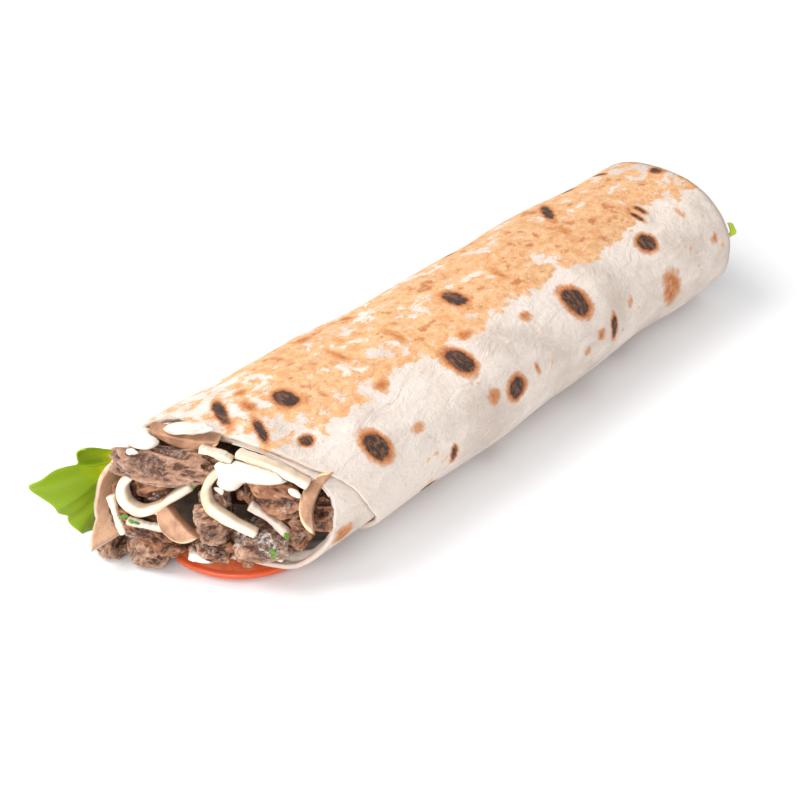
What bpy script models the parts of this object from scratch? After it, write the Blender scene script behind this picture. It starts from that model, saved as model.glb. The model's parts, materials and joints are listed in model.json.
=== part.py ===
"""A toasted flatbread rolled round beef, lamb, mushroom, onion, tomato, leaf and white sauce.

The roll lies on its flat underside. Its near mouth is cut on a slant and lets the filling
show, and its far mouth is cut square. +X runs along the roll to the far mouth, +Y to its
back and +Z up. The origin is on the underside, below the middle of the roll.
Sizes are in millimetres and angles in radians until a mesh is made.
"""

import math

import bmesh
import bpy
import numpy as np
from mathutils import Euler, Matrix, Vector

MM = 0.001
CLEARANCE = 0.35  # kept between neighbouring pieces
WALL_CLEARANCE = 0.6  # kept between the filling and the bread

# The roll's outside: a squarish oval section that narrows towards the far mouth
ROLL_WIDTH = 72.0
ROLL_HEIGHT = 49.0
ROLL_LENGTH = 228.8
ROLL_TAPER = 0.124
SQUARENESS = 2.3
UNDERSIDE_DEPTH = 0.8  # cut off the section's bottom to make it flat
MOUTH_SLANT = 0.606  # how far the near rim moves along X for each millimetre of Y
NEAR_X = -ROLL_LENGTH / 2
FAR_X = ROLL_LENGTH / 2

# The sheet of bread: an angle of 0 is the underside, and the angle grows over the front side
BREAD = 1.6
LAYER_GAP = 0.4
SHEET_START = -0.9
STEPS_PER_TURN = 36
SHEET_STEPS = 73
SHEET_END = SHEET_START + SHEET_STEPS * math.tau / STEPS_PER_TURN
ROWS_ALONG = 13
TOMATO_ROOM = 4.9
LEAF_ROOM = 2.6

# How far the rim of the sheet stands past the slanted cut, by angle round the sheet
RIM_REACH = (
    (-0.9, -18), (0.0, -21), (0.5, -21), (1.0, -14), (1.3, -10), (1.7, -3.5), (2.0, -0.5), (2.4, 1.5),
    (2.9, 2), (3.14, -0.5), (3.3, -3.5), (3.55, -9.5), (3.8, -10.5), (4.35, -16), (4.75, -16),
    (5.3, -14), (5.95, -4), (6.28, 11), (6.8, 13), (7.3, 11.5), (7.85, 8), (8.6, 4), (9.2, 1.5),
    (9.45, -1.5), (9.6, -5), (9.85, -11.5), (10.05, -10), (10.3, -3), (10.6, -1), (10.85, 1), (11.1, 3),
    (11.45, 7), (11.6, 12), (11.84, 20),
)

# Axes of the near mouth: across to the right, up the face, and out of it
MOUTH_ORIGIN = Vector((-122.4, 0.0, 25.5))
MOUTH_ACROSS = Vector((MOUTH_SLANT, -1.0, 0.0)).normalized()
MOUTH_LEAN = 0.279  # how far the face leans back for each millimetre of height
MOUTH_UP = Vector((MOUTH_LEAN * 1.0, 0.0, 1.0))
MOUTH_UP = (MOUTH_UP - MOUTH_UP.dot(MOUTH_ACROSS) * MOUTH_ACROSS).normalized()

BREAD_COLOUR = (0.86, 0.78, 0.68)
MEAT_COLOUR = (0.25, 0.13, 0.08)
ONION_COLOUR = (0.90, 0.84, 0.74)
MUSHROOM_COLOUR = (0.60, 0.42, 0.28)
SAUCE_COLOUR = (0.92, 0.90, 0.87)
TOMATO_COLOUR = (0.72, 0.20, 0.09)
LEAF_COLOUR = (0.30, 0.48, 0.04)


def frame_of(across, up, origin):
    """The matrix of a mouth, in millimetres: its axes are across, up and outwards."""
    out = across.cross(up)
    matrix = Matrix((across, up, out)).transposed().to_4x4()
    matrix.translation = origin
    return matrix


NEAR_MOUTH = frame_of(MOUTH_ACROSS, MOUTH_UP, MOUTH_ORIGIN)
FAR_MOUTH = frame_of(Vector((0, 1, 0)), Vector((0, 0, 1)), Vector((FAR_X, 0.0, ROLL_HEIGHT / 2)))
TABLE = Matrix.Identity(4)


def smooth_step(value, low, high):
    """0 below low, 1 above high and a smooth rise between them."""
    share = np.clip((value - low) / (high - low), 0.0, 1.0)
    return share * share * (3.0 - 2.0 * share)


def plateau(value, low, high, fade):
    """1 from low to high, fading smoothly to 0 on both sides."""
    return smooth_step(value, low - fade, low) * (1.0 - smooth_step(value, high, high + fade))


def signed_power(value, exponent):
    return np.sign(value) * np.abs(value) ** exponent


def lumps(points, seed, count=10):
    """A smooth random field between about -1 and 1: a sum of sine waves in seeded directions."""
    draw = np.random.default_rng(seed)
    directions = draw.normal(size=(count, 3))
    phases = draw.uniform(0.0, math.tau, count)
    return np.sin(points @ directions.T + phases).sum(axis=1) / math.sqrt(2.0 * count)


def dents(x, angle):
    """Soft unevenness of the roll, in millimetres."""
    wide = 0.55 * np.sin(0.047 * x + 1.9 * np.sin(angle) + 0.6)
    fine = 0.35 * np.sin(0.11 * x - 3.0 * angle + 1.2) * np.sin(2.0 * angle)
    return wide + fine


def roll_point(x, angle, inset):
    """A point of the roll's section at x, that far inside its outer surface."""
    half_width = ROLL_WIDTH / 2 * (1.0 - ROLL_TAPER * x / ROLL_LENGTH) + dents(x, angle) - inset
    half_height = ROLL_HEIGHT / 2 + dents(x, angle) - inset
    power = 2.0 / SQUARENESS
    y = -half_width * signed_power(np.sin(angle), power)
    z = ROLL_HEIGHT / 2 - half_height * signed_power(np.cos(angle), power)
    z = np.maximum(z, UNDERSIDE_DEPTH + inset) - UNDERSIDE_DEPTH
    return np.stack([x, y, z], axis=-1)


def layer_inset(angle, x):
    """How far inside the roll's surface the sheet lies, with room for the tomato and the leaf."""
    turns = sum(np.clip((angle - 0.5 - math.tau * turn) / (math.tau - 1.4), 0.0, 1.0) for turn in (0, 1))
    rolled = (BREAD + LAYER_GAP) * turns
    near = 1.0 - smooth_step(x, -88.0, -68.0)
    under = TOMATO_ROOM * plateau(angle, math.tau - 0.1, math.tau + 0.4, 0.5) * near
    rim = 1.0 - smooth_step(x, -118.0, -100.0)
    behind = LEAF_ROOM * plateau(angle, 3.5 * math.pi - 0.35, SHEET_END + 1.0, 0.6) * rim
    return rolled + under + behind


def rim_x(angle):
    """X of the sheet's near rim at an angle."""
    y = -ROLL_WIDTH / 2 * signed_power(np.sin(angle), 2.0 / SQUARENESS)
    return NEAR_X - MOUTH_SLANT * y - np.interp(angle, *zip(*RIM_REACH)) + 0.5 * np.sin(7.0 * angle)


def inner_wall(angle, x):
    """The inset of the wall's inside, under every layer that lies at this angle."""
    turns = np.ceil((SHEET_END + 0.2 - angle) / math.tau) - 1.0
    last = angle + math.tau * turns
    return layer_inset(last, x) + BREAD


def material(name, colour, roughness):
    """A plain finish of one colour."""
    made = bpy.data.materials.new(name)
    made.use_nodes = True
    shader = made.node_tree.nodes["Principled BSDF"]
    shader.inputs["Base Color"].default_value = (*colour, 1.0)
    shader.inputs["Roughness"].default_value = roughness
    return made


def add_object(name, mesh, finish, collection):
    made = bpy.data.objects.new(name, mesh)
    collection.objects.link(made)
    mesh.materials.clear()
    mesh.materials.append(finish)
    return made


def mesh_from(name, bm):
    mesh = bpy.data.meshes.new(name)
    bm.to_mesh(mesh)
    bm.free()
    return mesh


def surface(name, across, along, place):
    """A grid of triangles whose corners place() moves from two shares of 0 to 1 to millimetres."""
    bm = bmesh.new()
    bmesh.ops.create_grid(bm, x_segments=across, y_segments=along, size=0.5)
    shares = np.array([vertex.co[:2] for vertex in bm.verts]) + 0.5
    points = place(shares[:, 0], shares[:, 1]) * MM
    for vertex, point in zip(bm.verts, points):
        vertex.co = point
    bmesh.ops.triangulate(bm, faces=bm.faces)
    return mesh_from(name, bm)


def baked(obj, merge=0.000001):
    """A mesh of the object as its modifiers leave it, with doubled points merged."""
    graph = bpy.context.evaluated_depsgraph_get()
    mesh = bpy.data.meshes.new_from_object(obj.evaluated_get(graph))
    bm = bmesh.new()
    bm.from_mesh(mesh)
    bmesh.ops.remove_doubles(bm, verts=bm.verts, dist=merge)
    bmesh.ops.triangulate(bm, faces=bm.faces)
    bm.to_mesh(mesh)
    bm.free()
    return mesh


def thickened(obj, thickness, outwards):
    """Gives an open surface its thickness."""
    shell = obj.modifiers.new("thickness", "SOLIDIFY")
    shell.thickness = thickness * MM
    shell.offset = 1.0 if outwards else -1.0
    return obj


def largest_body(mesh):
    """Drops every scrap that isn't joined to the mesh's largest body."""
    bm = bmesh.new()
    bm.from_mesh(mesh)
    bodies = []
    unseen = set(bm.verts)
    while unseen:
        body = {unseen.pop()}
        edge_of_body = list(body)
        while edge_of_body:
            vertex = edge_of_body.pop()
            found = {edge.other_vert(vertex) for edge in vertex.link_edges} & unseen
            unseen -= found
            body |= found
            edge_of_body.extend(found)
        bodies.append(body)
    bodies.sort(key=len)
    scraps = [vertex for body in bodies[:-1] for vertex in body]
    bmesh.ops.delete(bm, geom=scraps, context="VERTS")
    bm.to_mesh(mesh)
    bm.free()
    return mesh


def box_of(obj):
    corners = np.array([obj.matrix_world @ Vector(corner) for corner in obj.bound_box])
    return corners.min(axis=0), corners.max(axis=0)


def boxes_meet(first, second, margin=0.001):
    (low_a, high_a), (low_b, high_b) = box_of(first), box_of(second)
    return bool(np.all(low_a - margin < high_b) and np.all(low_b - margin < high_a))


def swollen(obj, cutters):
    """A copy of a piece, grown by the clearance, to cut its neighbours with."""
    copy = obj.copy()
    copy.data = obj.data.copy()
    copy.name = "cutter_" + obj.name
    cutters.objects.link(copy)
    grow = copy.modifiers.new("grow", "DISPLACE")
    grow.strength = CLEARANCE * MM
    grow.mid_level = 0.0
    copy.hide_render = True
    copy.display_type = "WIRE"
    return copy


def closed_volume(mesh):
    """The volume of a mesh, or 0 where it isn't closed."""
    bm = bmesh.new()
    bm.from_mesh(mesh)
    is_closed = all(len(edge.link_faces) == 2 for edge in bm.edges)
    volume = bm.calc_volume() if is_closed else 0.0
    bm.free()
    return volume


def combine(obj, others, operation):
    """Applies a Boolean with each of the others in turn, and keeps the largest body.

    The second solver is used where the first one leaves an open mesh or next to nothing.
    """
    for other in others:
        before = closed_volume(obj.data)
        for solver in ("EXACT", "MANIFOLD"):
            join = obj.modifiers.new("join", "BOOLEAN")
            join.operation = operation
            join.object = other
            join.solver = solver
            mesh = largest_body(baked(obj))
            obj.modifiers.clear()
            if closed_volume(mesh) > 0.3 * before:
                break
        obj.data = mesh
    return obj


def pebble(name, size, finish, collection, frame, seed, roughness, square=2.6, detail=13):
    """A lumpy piece: a ball pressed squarish, scaled to its half sizes and made uneven."""
    bm = bmesh.new()
    bmesh.ops.create_uvsphere(bm, u_segments=detail, v_segments=detail - 5, radius=1.0)
    rays = np.array([vertex.co for vertex in bm.verts])
    pressed = rays / (np.abs(rays) ** square).sum(axis=1, keepdims=True) ** (1.0 / square)
    uneven = 1.0 + roughness * (lumps(rays * 1.7, seed) + 0.55 * lumps(rays * 4.2, seed + 50))
    points = pressed * uneven[:, None] * np.array(size) * MM
    for vertex, point in zip(bm.verts, points):
        vertex.co = point
    made = add_object(name, mesh_from(name, bm), finish, collection)
    made.matrix_world = frame
    return made


def placed(frame, centre, turn):
    """The matrix of a piece in a mouth's frame: its centre in millimetres and its turn in degrees."""
    turned = Euler([math.radians(value) for value in turn]).to_matrix().to_4x4()
    matrix = frame @ Matrix.Translation(centre) @ turned
    matrix.translation *= MM
    return matrix


def band(name, points, thickness, depth, finish, collection, frame):
    """A strip of onion: a curve with a rounded flat section, turned into a mesh."""
    curve = bpy.data.curves.new(name, "CURVE")
    curve.dimensions = "3D"
    curve.resolution_u = 2
    curve.bevel_depth = thickness / 2 * MM
    curve.bevel_resolution = 1
    curve.extrude = (depth - thickness) / 2 * MM
    curve.twist_mode = "Z_UP"
    curve.use_fill_caps = True
    spline = curve.splines.new("BEZIER")
    spline.bezier_points.add(len(points) - 1)
    for bezier, point in zip(spline.bezier_points, points):
        bezier.co = Vector(point) * MM
        bezier.handle_left_type = bezier.handle_right_type = "AUTO"
    strip = bpy.data.objects.new(name + "_curve", curve)
    collection.objects.link(strip)
    matrix = frame.copy()
    matrix.translation *= MM
    strip.matrix_world = matrix
    bpy.context.view_layer.update()
    made = add_object(name, baked(strip, 0.00002), finish, collection)
    made.matrix_world = strip.matrix_world
    bpy.data.objects.remove(strip)
    return made


def mushroom(name, half_width, height, hollow, thickness, finish, collection, matrix):
    """A slice of a cap: a half oval outline with a hollow where the gills were."""
    rim = [(math.cos(a), math.sin(a)) for a in np.linspace(0, math.pi, 13)]
    gills = [(-0.8 * math.cos(a), hollow * math.sin(a)) for a in np.linspace(0.3, math.pi - 0.3, 8)]
    bm = bmesh.new()
    corners = [
        bm.verts.new((across * half_width * MM, up * height * MM, -thickness / 2 * MM))
        for across, up in rim + gills
    ]
    face = bm.faces.new(corners)
    grown = bmesh.ops.extrude_face_region(bm, geom=[face])["geom"]
    moved = [item for item in grown if isinstance(item, bmesh.types.BMVert)]
    bmesh.ops.translate(bm, verts=moved, vec=(0, 0, thickness * MM))
    bmesh.ops.recalc_face_normals(bm, faces=bm.faces)
    edges = [edge for edge in bm.edges if edge.calc_face_angle(0.0) > 1.0]
    bmesh.ops.bevel(bm, geom=edges, offset=0.5 * MM, segments=1, affect="EDGES")
    bmesh.ops.triangulate(bm, faces=bm.faces)
    made = add_object(name, mesh_from(name, bm), finish, collection)
    made.matrix_world = matrix
    return made


def make_flatbread(finish, collection):
    """The rolled sheet: nearly two turns, with a slanted near rim and a square far one."""

    def place(along_share, round_share):
        angle = SHEET_START + round_share * (SHEET_END - SHEET_START)
        near = rim_x(angle)
        far = FAR_X + 1.1 * np.sin(2.0 * angle + 0.7)
        x = near + (far - near) * along_share**1.35
        return roll_point(x, angle, layer_inset(angle, x))

    mesh = surface("flatbread", ROWS_ALONG, SHEET_STEPS, place)
    made = add_object("flatbread", mesh, finish, collection)
    return thickened(made, BREAD, outwards=False)


def make_wall_cutter(cutters):
    """A thick closed tube just inside the bread, which keeps the filling clear of it."""

    def place(along_share, round_share):
        angle = SHEET_START + round_share * math.tau
        rims = [
            np.where(angle + turn < SHEET_END + 0.2, rim_x(angle + turn), FAR_X)
            for turn in (0.0, math.tau, 2.0 * math.tau)
        ]
        near = np.min(rims, axis=0) - 2.5
        x = near + (FAR_X + 2.0 - near) * along_share**1.35
        inside = np.maximum(inner_wall(angle - 0.02, x), inner_wall(angle + 0.02, x))
        return roll_point(x, angle, inside + WALL_CLEARANCE)

    mesh = surface("wall_cutter", ROWS_ALONG, STEPS_PER_TURN, place)
    bm = bmesh.new()
    bm.from_mesh(mesh)
    bmesh.ops.remove_doubles(bm, verts=bm.verts, dist=0.00005)
    bm.to_mesh(mesh)
    bm.free()
    made = bpy.data.objects.new("wall_cutter", mesh)
    cutters.objects.link(made)
    thickened(made, 12.0, outwards=True)
    made.hide_render = True
    made.display_type = "WIRE"
    return made


def make_tomato(finish, collection):
    """A slice of tomato between two layers of bread, its round edge out on the table."""
    radius, thickness = 28.8, 3.3
    centre = Vector((-99.6, 6.8, 3.2))
    bm = bmesh.new()
    bmesh.ops.create_cone(
        bm, cap_ends=True, segments=40, radius1=radius * MM, radius2=radius * MM, depth=thickness * MM
    )
    for point, out in (((0, 0, 0), (1, 0, 0)), ((0, 1.5, 0), (0, 1, 0))):
        whole = (*bm.verts, *bm.edges, *bm.faces)
        cut = bmesh.ops.bisect_plane(
            bm, geom=whole, plane_co=Vector(point) * MM, plane_no=out, clear_outer=True
        )
        edges = [edge for edge in cut["geom_cut"] if isinstance(edge, bmesh.types.BMEdge)]
        bmesh.ops.contextual_create(bm, geom=edges)
    rim = [edge for edge in bm.edges if abs(edge.calc_face_angle(0.0)) > 0.8]
    bmesh.ops.bevel(bm, geom=rim, offset=0.6 * MM, segments=1, affect="EDGES")
    made = add_object("tomato_slice", mesh_from("tomato_slice", bm), finish, collection)
    made.matrix_world = placed(TABLE, centre, (0.0, -2.2, 0.0))
    return made


def make_leaf(finish, collection):
    """A lettuce leaf tucked between two layers of bread at the back, with a ruffled edge."""

    def place(out_share, side_share):
        angle = np.radians(-72.0 + 140.0 * side_share)
        lobe = 4.5 * np.exp(-(((angle - 0.44) / 0.28) ** 2)) - 2.0 * np.exp(-(((angle + 0.35) / 0.35) ** 2))
        rim_along, rim_z = 12.0 + (18.5 + lobe) * np.cos(angle), 20.0 + (18.5 + lobe) * np.sin(angle)
        along = -3.0 + out_share * (rim_along + 3.0)
        base_z = 20.0 + 7.0 * side_share
        z = base_z + (rim_z - base_z) * out_share**1.8
        ruffle = 1.9 * out_share**1.6 * np.sin(3.2 * math.tau * side_share + 2.0 * out_share)
        return np.stack([-119.0 - along, 33.4 + 0.15 * along + ruffle, z], axis=-1)

    made = add_object("lettuce_leaf", surface("lettuce_leaf", 7, 14, place), finish, collection)
    return thickened(made, 0.7, outwards=False)


def make_smear(name, finish, collection):
    """Sauce spread over the inside of the bread at the front of the near mouth."""

    def place(along_share, round_share):
        angle = math.tau + 0.52 + round_share * 0.95
        rim = rim_x(angle) + 1.6 + 1.2 * np.sin(5.0 * angle)
        x = rim + 17.0 * along_share
        swell = 0.5 * np.sin(math.pi * round_share) * (1.0 - along_share)
        return roll_point(x, angle, inner_wall(angle, x) + CLEARANCE + 0.9 + swell)

    mesh = surface(name, 4, 8, place)
    made = add_object(name, mesh, finish, collection)
    return thickened(made, 0.8, outwards=True)


def make_core(finish, collection):
    """The packed meat that runs through the roll, rounded at both ends."""
    bm = bmesh.new()
    bmesh.ops.create_uvsphere(bm, u_segments=24, v_segments=14, radius=1.0)
    rays = np.array([vertex.co for vertex in bm.verts])
    height = np.clip(rays[:, 2], -1.0, 1.0)
    reach = np.sign(height) * np.abs(height) ** 0.9
    angle = np.arctan2(rays[:, 0], rays[:, 1])
    girth = (1.0 - np.abs(reach) ** 7.0) ** 0.5
    near, far = NEAR_X + 4.0, FAR_X - 9.0
    x = near + (far - near) * (reach + 1.0) / 2.0
    ring = roll_point(x, angle, 7.4 + 1.2 * lumps(rays * 3.0, 5))
    middle = np.stack([x, np.zeros_like(x), np.full_like(x, ROLL_HEIGHT / 2)], axis=-1)
    points = middle + (ring - middle) * girth[:, None]
    points[:, 0] -= MOUTH_SLANT * points[:, 1] * smooth_step(-x, 40.0, 100.0)
    for vertex, point in zip(bm.verts, points * MM):
        vertex.co = point
    bmesh.ops.recalc_face_normals(bm, faces=bm.faces)
    return add_object("filling_core", mesh_from("filling_core", bm), finish, collection)


# Pieces of meat: name, frame, centre, half sizes, turn in degrees and seed
MEAT = (
    ("meat_top_strip", NEAR_MOUTH, (-10.5, 12.3, 1.5), (16.5, 5.4, 4.2), (-12, 0, 4), 11),
    ("meat_in_ring", NEAR_MOUTH, (-14.5, 3.5, -6.0), (8.0, 6.5, 5.0), (0, 0, 10), 12),
    ("meat_middle", NEAR_MOUTH, (4.0, -3.2, 0.0), (5.8, 8.6, 6.5), (0, 10, 5), 13),
    ("meat_right", NEAR_MOUTH, (22.0, 6.4, -3.0), (9.3, 7.2, 7.0), (0, 0, -12), 14),
    ("meat_low_right", NEAR_MOUTH, (19.0, -8.8, 0.5), (8.6, 6.0, 6.5), (0, 0, 8), 15),
    ("meat_sliver", NEAR_MOUTH, (-16.5, -12.4, -1.5), (10.5, 4.2, 5.0), (0, 0, -14), 16),
    ("meat_behind_right", NEAR_MOUTH, (36.5, 1.0, -4.5), (5.0, 5.2, 5.0), (0, 0, 0), 17),
    ("meat_low_left", NEAR_MOUTH, (-9.2, -15.4, -1.5), (4.8, 3.2, 5.0), (0, 0, 6), 23),
    ("meat_low_middle", NEAR_MOUTH, (4.5, -14.6, -0.5), (5.5, 3.2, 5.0), (0, 0, 0), 18),
    ("meat_right_edge", NEAR_MOUTH, (28.9, -5.4, -4.0), (4.4, 7.0, 5.0), (0, 0, -8), 19),
    ("meat_left_wall", NEAR_MOUTH, (-26.0, -6.5, -4.5), (4.8, 8.0, 5.5), (0, 0, 0), 20),
    ("meat_on_table", TABLE, (-133.2, 14.6, 5.9), (5.2, 6.6, 4.9), (0, 0, 28), 21),
    ("meat_on_table_left", TABLE, (-138.6, 25.6, 4.4), (4.4, 5.6, 3.9), (0, 0, 28), 22),
    ("meat_far_top", FAR_MOUTH, (-8.0, 10.0, -4.0), (12.0, 6.5, 6.0), (0, 0, -8), 31),
    ("meat_far_front", FAR_MOUTH, (-19.0, -4.0, -4.5), (8.5, 8.0, 6.5), (0, 0, 20), 32),
    ("meat_far_middle", FAR_MOUTH, (-1.5, -7.5, -3.5), (8.0, 7.0, 6.5), (0, 0, -15), 33),
    ("meat_far_back", FAR_MOUTH, (15.5, -2.0, -4.5), (8.5, 9.0, 6.5), (0, 0, 12), 34),
)

# Strips of onion: name, frame, thickness, depth and the points that the strip follows
ONION = (
    (
        "onion_loop", NEAR_MOUTH, 3.1, 5.0,
        ((-14.5, 9.8, -0.5), (-20.5, 8.3, -0.2), (-24.8, 3.5, 0.0), (-24.2, -1.8, 0.4), (-19.5, -4.4, 0.8),
         (-14.0, -2.4, 1.0), (-9.0, 1.6, 0.6), (-3.0, 6.0, -1.0)),
    ),
    (
        "onion_hook", NEAR_MOUTH, 3.0, 4.4,
        ((9.0, 15.2, 3.0), (5.0, 12.4, 4.2), (3.0, 8.0, 5.0), (4.2, 3.2, 5.6), (8.4, 0.4, 6.0),
         (13.7, -1.9, 6.2), (19.2, -3.9, 6.2)),
    ),
    (
        "onion_under_rim", NEAR_MOUTH, 2.8, 5.0,
        ((11.0, 19.0, 0.5), (18.0, 17.6, 1.5), (26.6, 15.2, 2.0), (33.6, 12.4, 2.2)),
    ),
    ("onion_clear", NEAR_MOUTH, 2.2, 3.4, ((16.0, 4.4, 4.5), (22.0, 0.4, 3.4), (27.6, -4.6, 2.8))),
    ("onion_by_wall", NEAR_MOUTH, 2.2, 3.6, ((-29.0, -1.0, 0.0), (-26.8, -7.5, 0.8), (-24.4, -13.0, 1.4))),
    ("onion_sliver", NEAR_MOUTH, 2.0, 3.0, ((-23.0, -7.6, 2.4), (-17.0, -8.2, 2.6), (-11.8, -8.9, 1.8))),
    ("onion_top", NEAR_MOUTH, 2.2, 4.0, ((0.5, 19.8, 2.4), (5.6, 19.2, 3.2), (10.4, 17.4, 3.0))),
    (
        "onion_far", FAR_MOUTH, 3.0, 4.4,
        ((-24.0, 7.0, 2.2), (-14.0, 3.4, 3.2), (-6.0, 2.4, 3.6), (3.0, 6.4, 3.4), (9.0, 12.0, 2.6)),
    ),
)

# Slices of mushroom: name, frame, centre, turn, half width, height, hollow and thickness
MUSHROOM = (
    ("mushroom_top", NEAR_MOUTH, (-5.0, 23.6, 0.6), (-24, 0, 177), 10.8, 5.8, 0.15, 4.6),
    ("mushroom_middle", NEAR_MOUTH, (-5.6, -3.6, 2.6), (0, 14, 142), 8.2, 8.2, 0.10, 4.2),
    ("mushroom_right", NEAR_MOUTH, (38.0, 6.4, 1.2), (0, 34, 80), 9.6, 7.2, 0.42, 4.4),
    ("mushroom_far", FAR_MOUTH, (17.0, 12.0, -1.6), (0, 0, -35), 8.0, 6.5, 0.3, 4.0),
)

# Drops of white sauce: name, frame and a list of centres, half sizes and seeds to be fused
SAUCE = (
    ("sauce_top_left", NEAR_MOUTH, (((-17.8, 20.0, 1.5), (5.6, 3.8, 3.6), 41),)),
    (
        "sauce_top", NEAR_MOUTH,
        (((17.5, 14.6, 2.6), (10.6, 3.6, 4.0), 42), ((9.4, 13.0, 3.6), (5.0, 5.2, 3.8), 43)),
    ),
    ("sauce_low", NEAR_MOUTH, (((1.0, -16.6, 1.0), (5.6, 2.2, 3.6), 44),)),
    ("sauce_far", FAR_MOUTH, (((2.0, 16.0, -1.6), (9.0, 3.2, 3.6), 45),)),
)


def make_far_leaf(finish, collection):
    """The tip of a leaf that shows at the front of the far mouth."""

    def place(across_share, along_share):
        side = 2.0 * across_share - 1.0
        out = -8.0 + 13.5 * along_share
        over = side * 6.0 * (1.0 - 0.55 * along_share**2)
        wave = 1.1 * np.sin(3.4 * side + 5.0 * along_share)
        return np.stack([-27.5 + wave - 3.2 * along_share, 5.5 + over, out], axis=-1)

    made = add_object("lettuce_tip", surface("lettuce_tip", 7, 7, place), finish, collection)
    matrix = FAR_MOUTH.copy()
    matrix.translation *= MM
    made.matrix_world = matrix
    return thickened(made, 0.7, outwards=False)


def new_collection(name):
    made = bpy.data.collections.new(name)
    bpy.context.scene.collection.children.link(made)
    return made


def fit_together(pieces, wall, cutters):
    """Cuts each piece clear of the bread and of the pieces before it in the list."""
    done = []
    for piece in pieces:
        touching = [other for other in done if boxes_meet(piece, other)]
        grown = [swollen(other, cutters) for other in touching]
        on_table = piece.name.startswith("meat_on_table")
        combine(piece, grown if on_table else [wall, *grown], "DIFFERENCE")
        for cutter in grown:
            bpy.data.objects.remove(cutter)
        done.append(piece)


def main():
    for old in list(bpy.data.objects):
        bpy.data.objects.remove(old)
    parts = new_collection("beef_and_lamb_wrap")
    cutters = new_collection("cutters")
    bread = material("bread", BREAD_COLOUR, 0.8)
    meat = material("meat", MEAT_COLOUR, 0.5)
    onion = material("onion", ONION_COLOUR, 0.35)
    mushroom_flesh = material("mushroom", MUSHROOM_COLOUR, 0.4)
    sauce = material("sauce", SAUCE_COLOUR, 0.25)
    tomato = material("tomato", TOMATO_COLOUR, 0.3)
    leaf = material("leaf", LEAF_COLOUR, 0.4)

    make_flatbread(bread, parts)
    outside = [make_tomato(tomato, parts), make_leaf(leaf, parts)]
    wall = make_wall_cutter(cutters)
    bands = [band(n, points, t, d, onion, parts, f) for n, f, t, d, points in ONION]
    chunks = [
        pebble(n, size, meat, parts, placed(f, centre, turn), seed, 0.13)
        for n, f, centre, size, turn, seed in MEAT
    ]
    slices = [
        mushroom(n, half, height, hollow, thick, mushroom_flesh, parts, placed(f, centre, turn))
        for n, f, centre, turn, half, height, hollow, thick in MUSHROOM
    ]
    drops = []
    for name, frame, balls in SAUCE:
        made = [
            pebble(name, size, sauce, parts, placed(frame, centre, (0, 0, 0)), seed, 0.07, square=2.1, detail=12)
            for centre, size, seed in balls
        ]
        if len(made) > 1:
            combine(made[0], made[1:], "UNION")
        for extra in made[1:]:
            bpy.data.objects.remove(extra)
        drops.append(made[0])
    smear = make_smear("sauce_on_bread", sauce, parts)
    far_leaf = make_far_leaf(leaf, parts)
    core = make_core(meat, parts)
    for shell in (*outside, smear, far_leaf):
        shell.data = baked(shell)
        shell.modifiers.clear()
    bpy.context.view_layer.update()
    fit_together([*bands, chunks[0], *slices, *chunks[1:], far_leaf, smear, *drops, core], wall, cutters)
    for cutter in list(cutters.objects):
        bpy.data.objects.remove(cutter)
    bpy.data.collections.remove(cutters)


main()
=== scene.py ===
"""The looks of a toasted flatbread rolled round beef, lamb, mushroom, onion, tomato and leaf.

Lengths are in millimetres and angles in radians until a mesh is made. An angle of 0 is the
roll's underside, and the angle grows over the front side.
"""

import json
import logging
import math
from dataclasses import dataclass, field
from enum import Enum

import bmesh
import bpy
import numpy as np
from mathutils import Euler, Matrix, Vector

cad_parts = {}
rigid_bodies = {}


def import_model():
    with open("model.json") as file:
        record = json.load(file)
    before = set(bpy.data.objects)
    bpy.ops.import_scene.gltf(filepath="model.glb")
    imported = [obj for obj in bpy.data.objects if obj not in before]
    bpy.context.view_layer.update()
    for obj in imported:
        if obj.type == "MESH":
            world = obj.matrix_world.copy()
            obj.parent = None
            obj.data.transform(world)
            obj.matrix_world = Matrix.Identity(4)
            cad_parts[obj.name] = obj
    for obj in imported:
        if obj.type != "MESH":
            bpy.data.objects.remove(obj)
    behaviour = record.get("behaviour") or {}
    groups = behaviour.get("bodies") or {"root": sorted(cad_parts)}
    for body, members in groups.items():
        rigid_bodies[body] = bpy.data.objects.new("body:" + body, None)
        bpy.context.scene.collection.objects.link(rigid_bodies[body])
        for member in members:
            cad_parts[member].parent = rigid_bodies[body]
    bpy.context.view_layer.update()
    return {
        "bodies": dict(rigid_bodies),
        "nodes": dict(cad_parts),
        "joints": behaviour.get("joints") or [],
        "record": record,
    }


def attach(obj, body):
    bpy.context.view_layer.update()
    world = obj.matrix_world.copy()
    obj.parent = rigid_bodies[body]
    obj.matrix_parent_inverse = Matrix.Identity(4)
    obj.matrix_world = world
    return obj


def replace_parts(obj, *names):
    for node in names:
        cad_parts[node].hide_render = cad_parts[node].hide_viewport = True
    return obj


log = logging.getLogger("wrap")

Triple = tuple[float, float, float]
Socket = bpy.types.NodeSocket

MM = 0.001
WIDTH, HEIGHT, LENGTH = 72.0, 49.0, 228.8
TAPER, SQUARENESS, UNDERSIDE = 0.124, 2.3, 0.8
SLANT = 0.606
NEAR, FAR = -LENGTH / 2, LENGTH / 2
BREAD, LAYER_GAP = 1.6, 0.4
TOMATO_ROOM, LEAF_ROOM = 4.9, 2.6
ROUND_RADIUS = 31.0
MERGE = 0.004
SHEET_START = -0.9
SHEET_END = SHEET_START + 73 * math.tau / 36
CAMERA_FOCAL, CAMERA_SENSOR = 67.5, 36.0
CAMERA_PLACE = (-0.3347, -0.2785, 0.3184)
CAMERA_RIGHT, CAMERA_UP = (0.6807, -0.7326, 0.0), (0.4342, 0.4034, 0.8055)

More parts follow.
